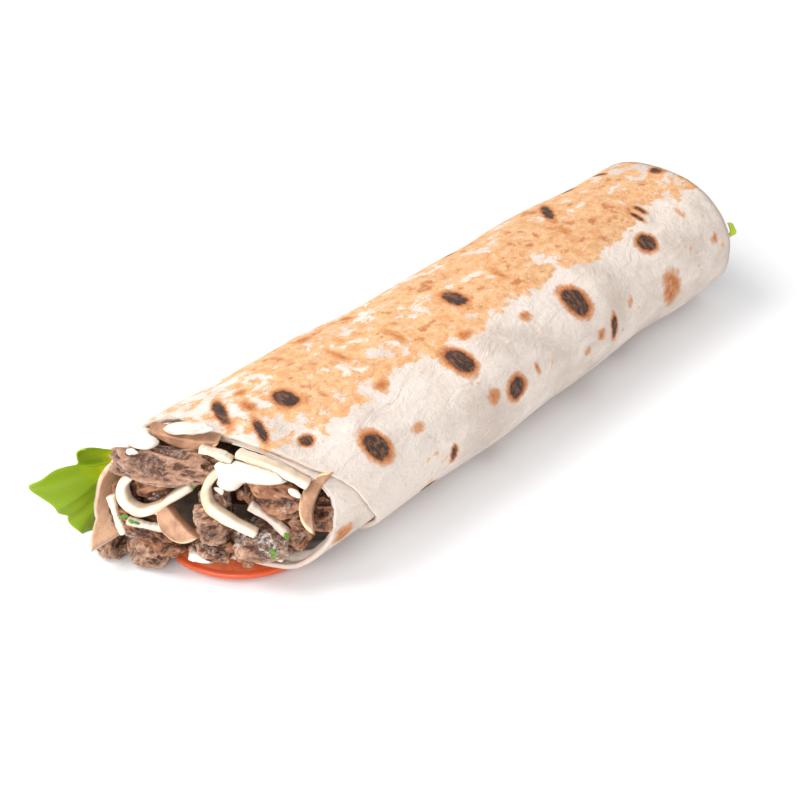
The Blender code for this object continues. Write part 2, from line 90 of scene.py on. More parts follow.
RIM_REACH = (
    (-0.9, -18), (0.0, -21), (0.5, -21), (1.0, -14), (1.3, -10), (1.7, -3.5), (2.0, -0.5), (2.4, 1.5),
    (2.9, 2), (3.14, -0.5), (3.3, -3.5), (3.55, -9.5), (3.8, -10.5), (4.35, -16), (4.75, -16),
    (5.3, -14), (5.95, -4), (6.28, 11), (6.8, 13), (7.3, 11.5), (7.85, 8), (8.6, 4), (9.2, 1.5),
    (9.45, -1.5), (9.6, -5), (9.85, -11.5), (10.05, -10), (10.3, -3), (10.6, -1), (10.85, 1), (11.1, 3),
    (11.45, 7), (11.6, 12), (11.84, 20),
)


def smooth_step(value: np.ndarray, low: float, high: float) -> np.ndarray:
    """0 below low, 1 above high and a smooth rise between them."""
    share = np.clip((value - low) / (high - low), 0.0, 1.0)
    return share * share * (3.0 - 2.0 * share)


def plateau(value: np.ndarray, low: float, high: float, fade: float) -> np.ndarray:
    """1 from low to high, fading smoothly to 0 on both sides."""
    return smooth_step(value, low - fade, low) * (1.0 - smooth_step(value, high, high + fade))


def signed_power(value: np.ndarray, exponent: float) -> np.ndarray:
    """A power that keeps the sign of its base."""
    return np.sign(value) * np.abs(value) ** exponent


def lumps(points: np.ndarray, seed: int, count: int = 10) -> np.ndarray:
    """A smooth random field between about -1 and 1.

    Args:
        points: Places, one a row.
        seed: Chooses the field.
        count: How many sine waves are added.

    Returns:
        The sum of sine waves in seeded directions, scaled by the root of twice their count.
    """
    draw = np.random.default_rng(seed)
    directions = draw.normal(size=(count, 3))
    phases = draw.uniform(0.0, math.tau, count)
    return np.sin(points @ directions.T + phases).sum(axis=-1) / math.sqrt(2.0 * count)


def dents(x: np.ndarray, angle: np.ndarray) -> np.ndarray:
    """Soft unevenness of the roll: two slow waves over x and the angle.

    Args:
        x: Place along the roll.
        angle: Place round the section.

    Returns:
        How far the surface swells, in millimetres.
    """
    wide = 0.55 * np.sin(0.047 * x + 1.9 * np.sin(angle) + 0.6)
    fine = 0.35 * np.sin(0.11 * x - 3.0 * angle + 1.2) * np.sin(2.0 * angle)
    return wide + fine


def roll_point(x: np.ndarray, angle: np.ndarray, inset: np.ndarray) -> np.ndarray:
    """Points of the roll's section.

    The section is a superellipse with its bottom cut flat, narrowing along x.

    Args:
        x: Place along the roll.
        angle: Place round the section.
        inset: Depth inside the outer surface.

    Returns:
        The points, in millimetres, one a row.
    """
    half_width = WIDTH / 2 * (1.0 - TAPER * x / LENGTH) + dents(x, angle) - inset
    half_height = HEIGHT / 2 + dents(x, angle) - inset
    power = 2.0 / SQUARENESS
    y = -half_width * signed_power(np.sin(angle), power)
    z = HEIGHT / 2 - half_height * signed_power(np.cos(angle), power)
    z = np.maximum(z, UNDERSIDE + inset) - UNDERSIDE
    return np.stack([x, y, z], axis=-1)


def layer_inset(angle: np.ndarray, x: np.ndarray) -> np.ndarray:
    """How far inside the roll's surface the sheet lies.

    It sinks by one layer over each turn, then by the room for the tomato under the near mouth
    and by the room for the leaf behind its rim.

    Args:
        angle: Place along the rolled sheet.
        x: Place along the roll.

    Returns:
        The depth, in millimetres.
    """
    turns = sum(np.clip((angle - 0.5 - math.tau * turn) / (math.tau - 1.4), 0.0, 1.0) for turn in (0, 1))
    near = 1.0 - smooth_step(x, -88.0, -68.0)
    under = TOMATO_ROOM * plateau(angle, math.tau - 0.1, math.tau + 0.4, 0.5) * near
    rim = 1.0 - smooth_step(x, -118.0, -100.0)
    behind = LEAF_ROOM * plateau(angle, 3.5 * math.pi - 0.35, SHEET_END + 1.0, 0.6) * rim
    return (BREAD + LAYER_GAP) * turns + under + behind


def rim_x(angle: np.ndarray) -> np.ndarray:
    """X of the sheet's near rim at an angle: the slanted cut and the rim's reach past it."""
    y = -WIDTH / 2 * signed_power(np.sin(angle), 2.0 / SQUARENESS)
    return NEAR - SLANT * y - np.interp(angle, *zip(*RIM_REACH)) + 0.5 * np.sin(7.0 * angle)


def mouth(across: Vector, up: Vector, origin: Vector) -> Matrix:
    """A mouth's matrix, whose axes run across it, up it and out of it.

    Args:
        across: Unit vector across the mouth.
        up: Unit vector up the mouth.
        origin: The mouth's middle, in millimetres.

    Returns:
        The matrix, in metres.
    """
    matrix = Matrix((across, up, across.cross(up))).transposed().to_4x4()
    matrix.translation = origin * MM
    return matrix


ACROSS = Vector((SLANT, -1.0, 0.0)).normalized()
LEAN = Vector((0.279, 0.0, 1.0))
UP = (LEAN - LEAN.dot(ACROSS) * ACROSS).normalized()
NEAR_MOUTH = mouth(ACROSS, UP, Vector((-122.4, 0.0, 25.5)))
FAR_MOUTH = mouth(Vector((0, 1, 0)), Vector((0, 0, 1)), Vector((FAR, 0.0, HEIGHT / 2)))
TABLE = Matrix.Identity(4)


def placed(frame: Matrix, centre: Triple, turn: Triple = (0, 0, 0)) -> Matrix:
    """A piece's matrix from its mouth, its centre in millimetres and its turn in degrees."""
    turned = Euler([math.radians(value) for value in turn]).to_matrix().to_4x4()
    return frame @ Matrix.Translation(Vector(centre) * MM) @ turned


def transformed(points: np.ndarray, matrix: Matrix) -> np.ndarray:
    """Points in millimetres carried into the world, in metres."""
    whole = np.array(matrix)
    return points * MM @ whole[:3, :3].T + whole[:3, 3]


def grid_faces(rows: int, columns: int, closed: bool = False) -> np.ndarray:
    """Quads of a grid, one a row.

    Args:
        rows: How many rows of points.
        columns: How many points in a row.
        closed: Whether the last column joins the first.

    Returns:
        The corners' numbers, in turn round each quad.
    """
    last = columns if closed else columns - 1
    row, column = np.meshgrid(np.arange(rows - 1), np.arange(last), indexing="ij")
    start, after = row * columns + column, row * columns + (column + 1) % columns
    return np.stack([start, after, after + columns, start + columns], axis=-1).reshape(-1, 4)


def ball_rays(rings: int, sides: int) -> np.ndarray:
    """Unit rays in rings from one pole of a ball to the other.

    Args:
        rings: How many rings, with both poles.
        sides: How many rays in a ring.

    Returns:
        The sine of the polar angle times the cosine and sine of the turn, and its cosine.
    """
    polar, turn = np.meshgrid(
        np.linspace(0.0, math.pi, rings), np.linspace(0.0, math.tau, sides, endpoint=False), indexing="ij"
    )
    return np.stack([np.sin(polar) * np.cos(turn), np.sin(polar) * np.sin(turn), np.cos(polar)], axis=-1)


def shell(
    points: np.ndarray, normals: np.ndarray, thickness: np.ndarray
) -> tuple[np.ndarray, np.ndarray]:
    """A closed sheet with thickness, from a grid of points.

    The outer face is the grid, the inner face is the grid moved against its normals, and a
    strip of quads joins their borders.

    Args:
        points: The grid, by row, column and coordinate.
        normals: The unit normals of the grid.
        thickness: The sheet's thickness at each point.

    Returns:
        All points, and all quads.
    """
    rows, columns = points.shape[:2]
    inner = points - normals * thickness[..., None]
    quads = grid_faces(rows, columns)
    count = rows * columns
    numbers = np.arange(count).reshape(rows, columns)
    border = np.concatenate([numbers[0, :-1], numbers[:-1, -1], numbers[-1, :0:-1], numbers[:0:-1, 0]])
    ahead = np.roll(border, -1)
    strip = np.stack([ahead, border, border + count, ahead + count], axis=-1)
    faces = np.concatenate([quads, quads[:, ::-1] + count, strip])
    return np.concatenate([points.reshape(-1, 3), inner.reshape(-1, 3)]), faces


def grid_normals(points: np.ndarray) -> np.ndarray:
    """Unit normals of a grid: the cross product of its columns' and its rows' directions.

    Args:
        points: The grid, by row, column and coordinate.

    Returns:
        The normals, in the same order.
    """
    down, along = np.gradient(points, axis=0), np.gradient(points, axis=1)
    crossed = np.cross(along, down)
    return crossed / np.maximum(np.linalg.norm(crossed, axis=-1, keepdims=True), 1e-9)


def new_piece(
    name: str, points: np.ndarray, faces: np.ndarray, finish: bpy.types.Material
) -> bpy.types.Object:
    """A smooth-shaded object at the origin.

    Args:
        name: Its name.
        points: Its points, in metres.
        faces: Its quads or triangles.
        finish: Its material.

    Returns:
        The object, linked and riding on the root.
    """
    mesh = bpy.data.meshes.new(name)
    mesh.from_pydata(points.tolist(), [], faces.tolist())
    mesh.polygons.foreach_set("use_smooth", np.ones(len(mesh.polygons), dtype=bool))
    mesh.materials.append(finish)
    mesh.update()
    piece = bpy.data.objects.new(name, mesh)
    bpy.context.scene.collection.objects.link(piece)
    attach(piece, "root")
    return piece


def paint(piece: bpy.types.Object, name: str, values: np.ndarray) -> None:
    """Stores one number for each point of a piece."""
    layer = piece.data.attributes.new(name, "FLOAT", "POINT")
    layer.data.foreach_set("value", values.astype(np.float32))


def closed_up(piece: bpy.types.Object) -> None:
    """Merges the points that coincide at a piece's poles, and drops faces without area.

    Args:
        piece: The piece, painted already.
    """
    shape = bmesh.new()
    shape.from_mesh(piece.data)
    bmesh.ops.remove_doubles(shape, verts=shape.verts, dist=MERGE * MM)
    bmesh.ops.dissolve_degenerate(shape, edges=shape.edges, dist=MERGE * MM)
    shape.to_mesh(piece.data)
    shape.free()


def mottle_group() -> bpy.types.NodeTree:
    """The mottling that several foods share, as one node group.

    Noise plus a shift is a height, and the height's smooth rise from low to high mixes the
    first colour with the second.

    Returns:
        The group, made at its first use.
    """
    if "mottle" in bpy.data.node_groups:
        return bpy.data.node_groups["mottle"]
    tree = bpy.data.node_groups.new("mottle", "ShaderNodeTree")
    tree.interface.new_socket("Place", in_out="INPUT", socket_type="NodeSocketVector")
    for name in ("Scale", "Detail", "Roughness", "Shift", "Low", "High"):
        tree.interface.new_socket(name, in_out="INPUT", socket_type="NodeSocketFloat")
    for name in ("First", "Second"):
        tree.interface.new_socket(name, in_out="INPUT", socket_type="NodeSocketColor")
    tree.interface.new_socket("Colour", in_out="OUTPUT", socket_type="NodeSocketColor")
    tree.interface.new_socket("Height", in_out="OUTPUT", socket_type="NodeSocketFloat")
    inlet, outlet = tree.nodes.new("NodeGroupInput"), tree.nodes.new("NodeGroupOutput")
    noise, height = tree.nodes.new("ShaderNodeTexNoise"), tree.nodes.new("ShaderNodeMath")
    rise, mixed = tree.nodes.new("ShaderNodeMapRange"), tree.nodes.new("ShaderNodeMix")
    rise.interpolation_type = "SMOOTHSTEP"
    mixed.data_type = "RGBA"
    for start, end in (
        (inlet.outputs["Place"], noise.inputs["Vector"]),
        (inlet.outputs["Scale"], noise.inputs["Scale"]),
        (inlet.outputs["Detail"], noise.inputs["Detail"]),
        (inlet.outputs["Roughness"], noise.inputs["Roughness"]),
        (noise.outputs["Fac"], height.inputs[0]),
        (inlet.outputs["Shift"], height.inputs[1]),
        (height.outputs[0], rise.inputs["Value"]),
        (inlet.outputs["Low"], rise.inputs["From Min"]),
        (inlet.outputs["High"], rise.inputs["From Max"]),
        (rise.outputs["Result"], mixed.inputs["Factor"]),
        (inlet.outputs["First"], mixed.inputs[6]),
        (inlet.outputs["Second"], mixed.inputs[7]),
        (mixed.outputs[2], outlet.inputs["Colour"]),
        (height.outputs[0], outlet.inputs["Height"]),
    ):
        tree.links.new(start, end)
    return tree


class Shader:
    """A material's node tree, with short ways to add and join nodes."""

    def __init__(self, name: str, roughness: float) -> None:
        """Makes a material with one Principled shader.

        Args:
            name: The material's name.
            roughness: The shader's roughness.
        """
        self.material = bpy.data.materials.new(name)
        self.material.use_nodes = True
        self.tree = self.material.node_tree
        self.shader = self.tree.nodes["Principled BSDF"]
        self.shader.inputs["Roughness"].default_value = roughness
        self.place = self.tree.nodes.new("ShaderNodeTexCoord").outputs["Object"]

    def join(self, value: object, socket: Socket) -> None:
        """Links a socket to another, or sets its value.

        Args:
            value: A socket, or a number or colour.
            socket: The socket that takes it.
        """
        if isinstance(value, Socket):
            self.tree.links.new(value, socket)
        else:
            socket.default_value = value

    def noise(
        self, scale: float, detail: float = 4.0, stretch: Triple = (1, 1, 1), rough: float = 0.6,
        distortion: float = 0.0,
    ) -> Socket:
        """Noise over the piece's own coordinates.

        Args:
            scale: Waves in a metre.
            detail: How many finer waves are added.
            stretch: Factors on the three coordinates.
            rough: How strong the finer waves are.
            distortion: How far the waves are bent.

        Returns:
            The noise, from 0 to 1.
        """
        turned = self.tree.nodes.new("ShaderNodeMapping")
        turned.inputs["Scale"].default_value = stretch
        self.join(self.place, turned.inputs["Vector"])
        made = self.tree.nodes.new("ShaderNodeTexNoise")
        made.inputs["Scale"].default_value = scale
        made.inputs["Detail"].default_value = detail
        made.inputs["Roughness"].default_value = rough
        made.inputs["Distortion"].default_value = distortion
        self.join(turned.outputs["Vector"], made.inputs["Vector"])
        return made.outputs["Fac"]

    def dapples(self, scale: float, warp: float) -> Socket:
        """Distance to the nearest of scattered points.

        Args:
            scale: Points in a metre.
            warp: How far noise moves the coordinates, in metres.

        Returns:
            The distance, in spacings of the points.
        """
        cloud = self.tree.nodes.new("ShaderNodeTexNoise")
        cloud.inputs["Scale"].default_value = scale * 0.9
        cloud.inputs["Detail"].default_value = 4.0
        self.join(self.place, cloud.inputs["Vector"])
        shift = self.tree.nodes.new("ShaderNodeVectorMath")
        shift.operation = "MULTIPLY_ADD"
        shift.inputs[1].default_value = (warp, warp, warp)
        self.join(cloud.outputs["Color"], shift.inputs[0])
        self.join(self.place, shift.inputs[2])
        made = self.tree.nodes.new("ShaderNodeTexVoronoi")
        made.inputs["Scale"].default_value = scale
        self.join(shift.outputs["Vector"], made.inputs["Vector"])
        return made.outputs["Distance"]

    def attribute(self, name: str) -> Socket:
        """A number stored on the piece's points.

        Args:
            name: What it was painted as.

        Returns:
            The number.
        """
        made = self.tree.nodes.new("ShaderNodeAttribute")
        made.attribute_name = name
        return made.outputs["Fac"]

    def math(self, operation: str, first: object, second: object = 0.0) -> Socket:
        """A sum, product or other operation.

        Args:
            operation: Blender's name for it.
            first: A socket or a number.
            second: A socket or a number.

        Returns:
            The result.
        """
        made = self.tree.nodes.new("ShaderNodeMath")
        made.operation = operation
        self.join(first, made.inputs[0])
        self.join(second, made.inputs[1])
        return made.outputs[0]

    def ramp(
        self, value: object, low: float, high: float, start: float = 0.0, end: float = 1.0
    ) -> Socket:
        """A smooth rise.

        Args:
            value: What rises.
            low: Where the rise begins.
            high: Where it ends.
            start: The result up to low.
            end: The result from high on.

        Returns:
            The result.
        """
        made = self.tree.nodes.new("ShaderNodeMapRange")
        made.interpolation_type = "SMOOTHSTEP"
        for name, setting in (("From Min", low), ("From Max", high), ("To Min", start), ("To Max", end)):
            made.inputs[name].default_value = setting
        self.join(value, made.inputs["Value"])
        return made.outputs["Result"]

    def mix(self, share: object, first: object, second: object) -> Socket:
        """A mixture of two colours.

        Args:
            share: The second colour's share.
            first: A socket or three numbers.
            second: A socket or three numbers.

        Returns:
            The mixture.
        """
        made = self.tree.nodes.new("ShaderNodeMix")
        made.data_type = "RGBA"
        self.join(share, made.inputs["Factor"])
        for colour, socket in ((first, made.inputs[6]), (second, made.inputs[7])):
            self.join(colour if isinstance(colour, Socket) else (*colour, 1.0), socket)
        return made.outputs[2]

    def mottle(
        self, scale: float, detail: float, rough: float, span: tuple[float, float],
        colours: tuple[Triple, Triple], shift: object = 0.0,
    ) -> tuple[Socket, Socket]:
        """Two colours mixed by the shared mottling.

        Args:
            scale: Waves in a metre.
            detail: How many finer waves are added.
            rough: How strong the finer waves are.
            span: Where the height begins and ends to mix the colours.
            colours: The first and the second colour.
            shift: Added to the height.

        Returns:
            The mixture and its height.
        """
        made = self.tree.nodes.new("ShaderNodeGroup")
        made.node_tree = mottle_group()
        for name, value in (
            ("Place", self.place), ("Scale", scale), ("Detail", detail), ("Roughness", rough),
            ("Shift", shift), ("Low", span[0]), ("High", span[1]),
            ("First", (*colours[0], 1.0)), ("Second", (*colours[1], 1.0)),
        ):
            self.join(value, made.inputs[name])
        return made.outputs["Colour"], made.outputs["Height"]

    def bump(self, height: object, depth: float) -> None:
        """Relief on the surface.

        Args:
            height: The height, about 0 to 1.
            depth: The depth of a height of 1, in millimetres.
        """
        made = self.tree.nodes.new("ShaderNodeBump")
        made.inputs["Distance"].default_value = depth * MM
        self.join(height, made.inputs["Height"])
        self.join(made.outputs["Normal"], self.shader.inputs["Normal"])

    def colour(self, value: Socket) -> None:
        """Links the base colour."""
        self.join(value, self.shader.inputs["Base Color"])

    def glow_through(self, weight: float, reach: Triple, scale: float) -> None:
        """Lets light travel under the surface.

        Args:
            weight: How much of it does.
            reach: How far red, green and blue go.
            scale: Metres for a reach of 1.
        """
        self.shader.inputs["Subsurface Weight"].default_value = weight
        self.shader.inputs["Subsurface Radius"].default_value = reach
        self.shader.inputs["Subsurface Scale"].default_value = scale


def tone(red: int, green: int, blue: int) -> Triple:
    """A colour as light.

    Args:
        red: Red as a screen shows it, from 0 to 255.
        green: Green in the same way.
        blue: Blue in the same way.

    Returns:
        The three as shares of full light.
    """
    screen = (red, green, blue)
    return tuple(((part / 255 + 0.055) / 1.055) ** 2.4 if part > 10 else part / 3295 for part in screen)


@dataclass(frozen=True)
class BreadFinish:
    """Floury flatbread, toasted orange in patches and charred in spots."""

    pale: Triple = tone(228, 214, 203)
    floury: Triple = tone(240, 228, 218)
    shaded: Triple = tone(206, 190, 178)
    toasted: Triple = tone(214, 152, 98)
    light_toast: Triple = tone(230, 184, 138)
    browned: Triple = tone(184, 108, 56)
    halo: Triple = tone(202, 134, 76)
    char: Triple = tone(58, 36, 28)
    crackled: Triple = tone(124, 82, 56)
    moist: Triple = tone(206, 158, 120)

    def make(self) -> bpy.types.Material:
        """Pale bread, then toast, then char, each by its own painted mask and noise.

        Returns:
            The material.
        """
        made = Shader("bread", 0.72)
        pale, soft = made.mottle(42.0, 6.0, 0.6, (0.40, 0.68), (self.pale, self.shaded))
        folds = made.noise(150.0, 5.0, (0.6, 1.2, 1.2), 0.6, 1.2)
        fine = made.noise(480.0, 6.0, rough=0.7)
        pale = made.mix(made.ramp(folds, 0.54, 0.70, 0.0, 0.5), pale, self.floury)
        pale = made.mix(made.ramp(fine, 0.60, 0.78, 0.0, 0.35), pale, self.shaded)
        patches = made.noise(95.0, 10.0, (0.8, 1.2, 1.2), 0.72, 0.3)
        dapple = made.dapples(210.0, 0.006)
        uneven = made.math("MULTIPLY", made.math("SUBTRACT", patches, 0.5), 3.6)
        dotted = made.math("MULTIPLY", made.math("SUBTRACT", 0.45, dapple), 0.9)
        toast = made.math("ADD", made.math("ADD", made.attribute("toast"), uneven), dotted)
        warm = made.ramp(toast, 0.46, 0.72)
        speckle = made.ramp(made.noise(330.0, 7.0, rough=0.7), 0.34, 0.64)
        warm_colour = made.mix(speckle, self.toasted, self.light_toast)
        warm_colour = made.mix(made.ramp(toast, 1.15, 1.62, 0.0, 0.85), warm_colour, self.browned)
        colour = made.mix(warm, pale, warm_colour)
        colour = made.mix(made.attribute("moist"), colour, self.moist)
        ragged = made.math("SUBTRACT", made.noise(300.0, 6.0, rough=0.7), 0.5)
        ragged = made.math("MULTIPLY", ragged, 0.95)
        edge = made.math("ADD", made.attribute("char"), ragged)
        colour = made.mix(made.ramp(edge, 0.12, 0.46, 0.0, 0.85), colour, self.halo)
        colour = made.mix(made.ramp(edge, 0.44, 0.68), colour, self.browned)
        burnt = made.ramp(edge, 0.64, 0.88)
        crackle = made.noise(520.0, 5.0, (1.6, 0.5, 1.0), 0.6, 0.8)
        crackle = made.ramp(crackle, 0.44, 0.66, 0.0, 0.85)
        colour = made.mix(burnt, colour, made.mix(crackle, self.char, self.crackled))
        made.colour(colour)
        relief = made.math("ADD", made.math("MULTIPLY", soft, 1.3), made.math("MULTIPLY", fine, 0.28))
        relief = made.math("ADD", relief, made.math("MULTIPLY", folds, 0.75))
        made.bump(made.math("ADD", relief, made.math("MULTIPLY", patches, 0.35)), 1.3)
        made.glow_through(0.1, (1.0, 0.6, 0.4), 0.0012)
        return made.material


@dataclass(frozen=True)
class MeatFinish:
    """Roast meat: brown fibres, a greyish coat in places, painted shade in the crags and painted highlights
    on the ridges and fibres.
    """

    name: str = "meat"
    brown: Triple = tone(148, 94, 64)
    # dark: painted shade for the grooves between the crags
    dark: Triple = tone(66, 34, 20)
    # light: painted highlight for the ridges and the fibres
    light: Triple = tone(194, 142, 104)
    coat: Triple = tone(222, 206, 194)
    coat_share: float = 0.26

    def make(self) -> bpy.types.Material:
        """Painted shade in the grooves, brown fibres and painted highlights on the ridges and fibres, with
        pale grains on top.

        Returns:
            The material.
        """
        made = Shader(self.name, 0.36)
        crags = made.noise(210.0, 7.0, rough=0.66, distortion=0.5)
        fibres = made.noise(620.0, 5.0, (0.3, 1.4, 1.4), 0.62, 0.6)
        height = made.math("MULTIPLY", made.math("SUBTRACT", crags, 0.5), 2.0)
        height = made.math("ADD", made.attribute("ridge"), height)
        # painted shade: the dark tone where the height is low, in the grooves
        colour = made.mix(made.ramp(height, -0.75, 0.1), self.dark, self.brown)
        # painted highlight: the light tone where the height is high, on the ridges
        colour = made.mix(made.ramp(height, 0.2, 1.0, 0.0, 0.8), colour, self.light)
        # painted highlight along the fibres
        colour = made.mix(made.ramp(fibres, 0.44, 0.68, 0.0, 0.55), colour, self.light)
        clouds = made.ramp(made.noise(130.0, 6.0, rough=0.7), 0.5, 0.64)
        coat = made.math("MULTIPLY", clouds, made.ramp(made.noise(900.0, 3.0), 0.42, 0.58))
        colour = made.mix(made.math("MULTIPLY", coat, self.coat_share * 2.2), colour, self.coat)
        made.colour(colour)
        made.join(made.ramp(crags, 0.35, 0.65, 0.5, 0.24), made.shader.inputs["Roughness"])
        made.bump(made.math("ADD", crags, made.math("MULTIPLY", fibres, 0.6)), 1.6)
        made.glow_through(0.08, (1.0, 0.4, 0.25), 0.001)
        return made.material


@dataclass(frozen=True)
class SoftFinish:
    """A moist food of one main colour, varied towards a second one."""

    name: str
    main: Triple
    second: Triple
    roughness: float = 0.3
    scale: float = 120.0
    depth: float = 0.15
    glow: float = 0.3
    streak: float = 0.0

    def make(self) -> bpy.types.Material:
        """Two colours mottled by noise and painted streaks, with light under the surface.

        Returns:
            The material.
        """
        made = Shader(self.name, self.roughness)
        streaks = made.math("MULTIPLY", made.attribute("ridge"), self.streak)
        colour, cloud = made.mottle(self.scale, 5.0, 0.6, (0.38, 0.68), (self.main, self.second), streaks)
        made.colour(colour)
        grain = made.math("MULTIPLY", made.noise(self.scale * 4, 3.0), 0.3)
        made.bump(made.math("ADD", cloud, grain), self.depth)
        made.glow_through(self.glow, (1.0, 0.7, 0.5), 0.002)
        return made.material


@dataclass(frozen=True)
class EdgedFinish:
    """A slice whose rim has another colour than its face, told apart by a painted edge."""

    name: str
    face: Triple
    shade: Triple
    rim: Triple
    roughness: float = 0.35
    scale: float = 150.0
    depth: float = 0.2
    glow: float = 0.2

    def make(self) -> bpy.types.Material:
        """A mottled face and a plain rim.

        Returns:
            The material.
        """
        made = Shader(self.name, self.roughness)
        face, cloud = made.mottle(self.scale, 6.0, 0.65, (0.36, 0.66), (self.face, self.shade))
        edge = made.math("ADD", made.attribute("edge"), made.math("MULTIPLY", made.noise(300.0), 0.3))
        made.colour(made.mix(made.ramp(edge, 0.55, 0.85), face, self.rim))
        made.bump(cloud, self.depth)
        made.glow_through(self.glow, (1.0, 0.6, 0.35), 0.002)
        return made.material


class Burn(Enum):
    """How dark a spot on the bread is: the painted peak of its mask."""

    BLACK = 1.15
    BROWN = 0.62
    TAN = 0.42


@dataclass(frozen=True)
class Spot:
    """A toasted spot: its place along and round the sheet, and its half sizes in millimetres."""

    x: float
    angle: float
    along: float
    around: float
    burn: Burn = Burn.BLACK
    tilt: float = 0.0


SPOTS = (
    Spot(-78, 2.19, 4.2, 6.6, tilt=0.25), Spot(-32, 2.48, 4.0, 6.4, tilt=0.2),
    Spot(25, 2.30, 4.8, 7.6, tilt=0.25), Spot(72, 2.44, 4.2, 4.6),
    Spot(75, 1.66, 5.0, 8.0, Burn.BROWN, 0.3), Spot(-17, 1.80, 4.2, 4.6),
    Spot(-28, 1.89, 3.0, 3.2, Burn.BROWN), Spot(-5, 1.85, 1.2, 3.2, Burn.BROWN),
    Spot(2, 2.49, 2.2, 2.6, Burn.BROWN), Spot(39, 1.68, 1.7, 5.6), Spot(50, 1.85, 2.0, 3.4, Burn.TAN),
    Spot(31, 1.70, 2.2, 2.4, Burn.BROWN), Spot(23, 1.60, 2.0, 1.6, Burn.TAN),
    Spot(104, 1.93, 1.5, 3.0, Burn.BROWN), Spot(-49, 1.52, 1.5, 3.2), Spot(-58, 1.15, 3.4, 1.6),
    Spot(-61, 2.09, 2.8, 2.4, Burn.TAN), Spot(-10, 3.10, 3.4, 3.6), Spot(-88, 3.11, 3.8, 3.0),
    Spot(-59, 3.71, 3.2, 2.4, Burn.BROWN), Spot(-96, 2.66, 2.6, 2.0),
    Spot(-106, 3.32, 1.8, 6.5, tilt=-0.6), Spot(-104, 2.98, 1.6, 5.0, tilt=-0.6),
    Spot(-99, 3.21, 2.6, 2.2, Burn.BROWN), Spot(-95, 3.41, 2.2, 1.8, Burn.BROWN),
    Spot(-60, 3.23, 1.6, 3.6, Burn.BROWN), Spot(-61, 2.73, 3.2, 1.8, Burn.BROWN),
    Spot(-39, 3.74, 2.2, 3.0, Burn.BROWN), Spot(-39, 3.10, 1.6, 3.6, Burn.BROWN),
    Spot(-22, 2.70, 3.4, 1.8, Burn.BROWN), Spot(60, 3.52, 2.0, 9.0, tilt=-0.7), Spot(85, 3.89, 2.4, 2.6),
    Spot(112, 3.19, 2.0, 2.2), Spot(101, 3.75, 1.6, 3.4), Spot(80, 2.80, 1.4, 3.4),
    Spot(84, 2.86, 1.2, 3.0), Spot(96, 2.54, 1.8, 3.6, Burn.TAN), Spot(51, 3.12, 1.8, 3.2, Burn.BROWN),
    Spot(18, 4.0, 2.2, 4.0), Spot(12, 3.08, 1.6, 4.0, Burn.BROWN), Spot(30, 0.9, 6.0, 2.6),
    Spot(-20, 0.8, 4.0, 2.4), Spot(60, 0.7, 3.4, 2.4), Spot(-70, 4.7, 4.6, 6.0), Spot(-30, 5.0, 4.0, 5.2),
    Spot(20, 4.85, 5.4, 6.6), Spot(62, 4.6, 3.8, 4.8), Spot(95, 5.1, 3.2, 4.4),
    Spot(-95, 5.1, 3.2, 3.6, Burn.BROWN), Spot(0, 5.3, 2.6, 3.4, Burn.BROWN),
    Spot(44, 5.2, 2.2, 3.0, Burn.BROWN), Spot(-97, 7.62, 4.0, 4.6, Burn.BROWN, 0.3),
    Spot(-112, 6.72, 3.4, 5.4, Burn.TAN), Spot(-122, 6.5, 2.4, 4.0, Burn.TAN),
)


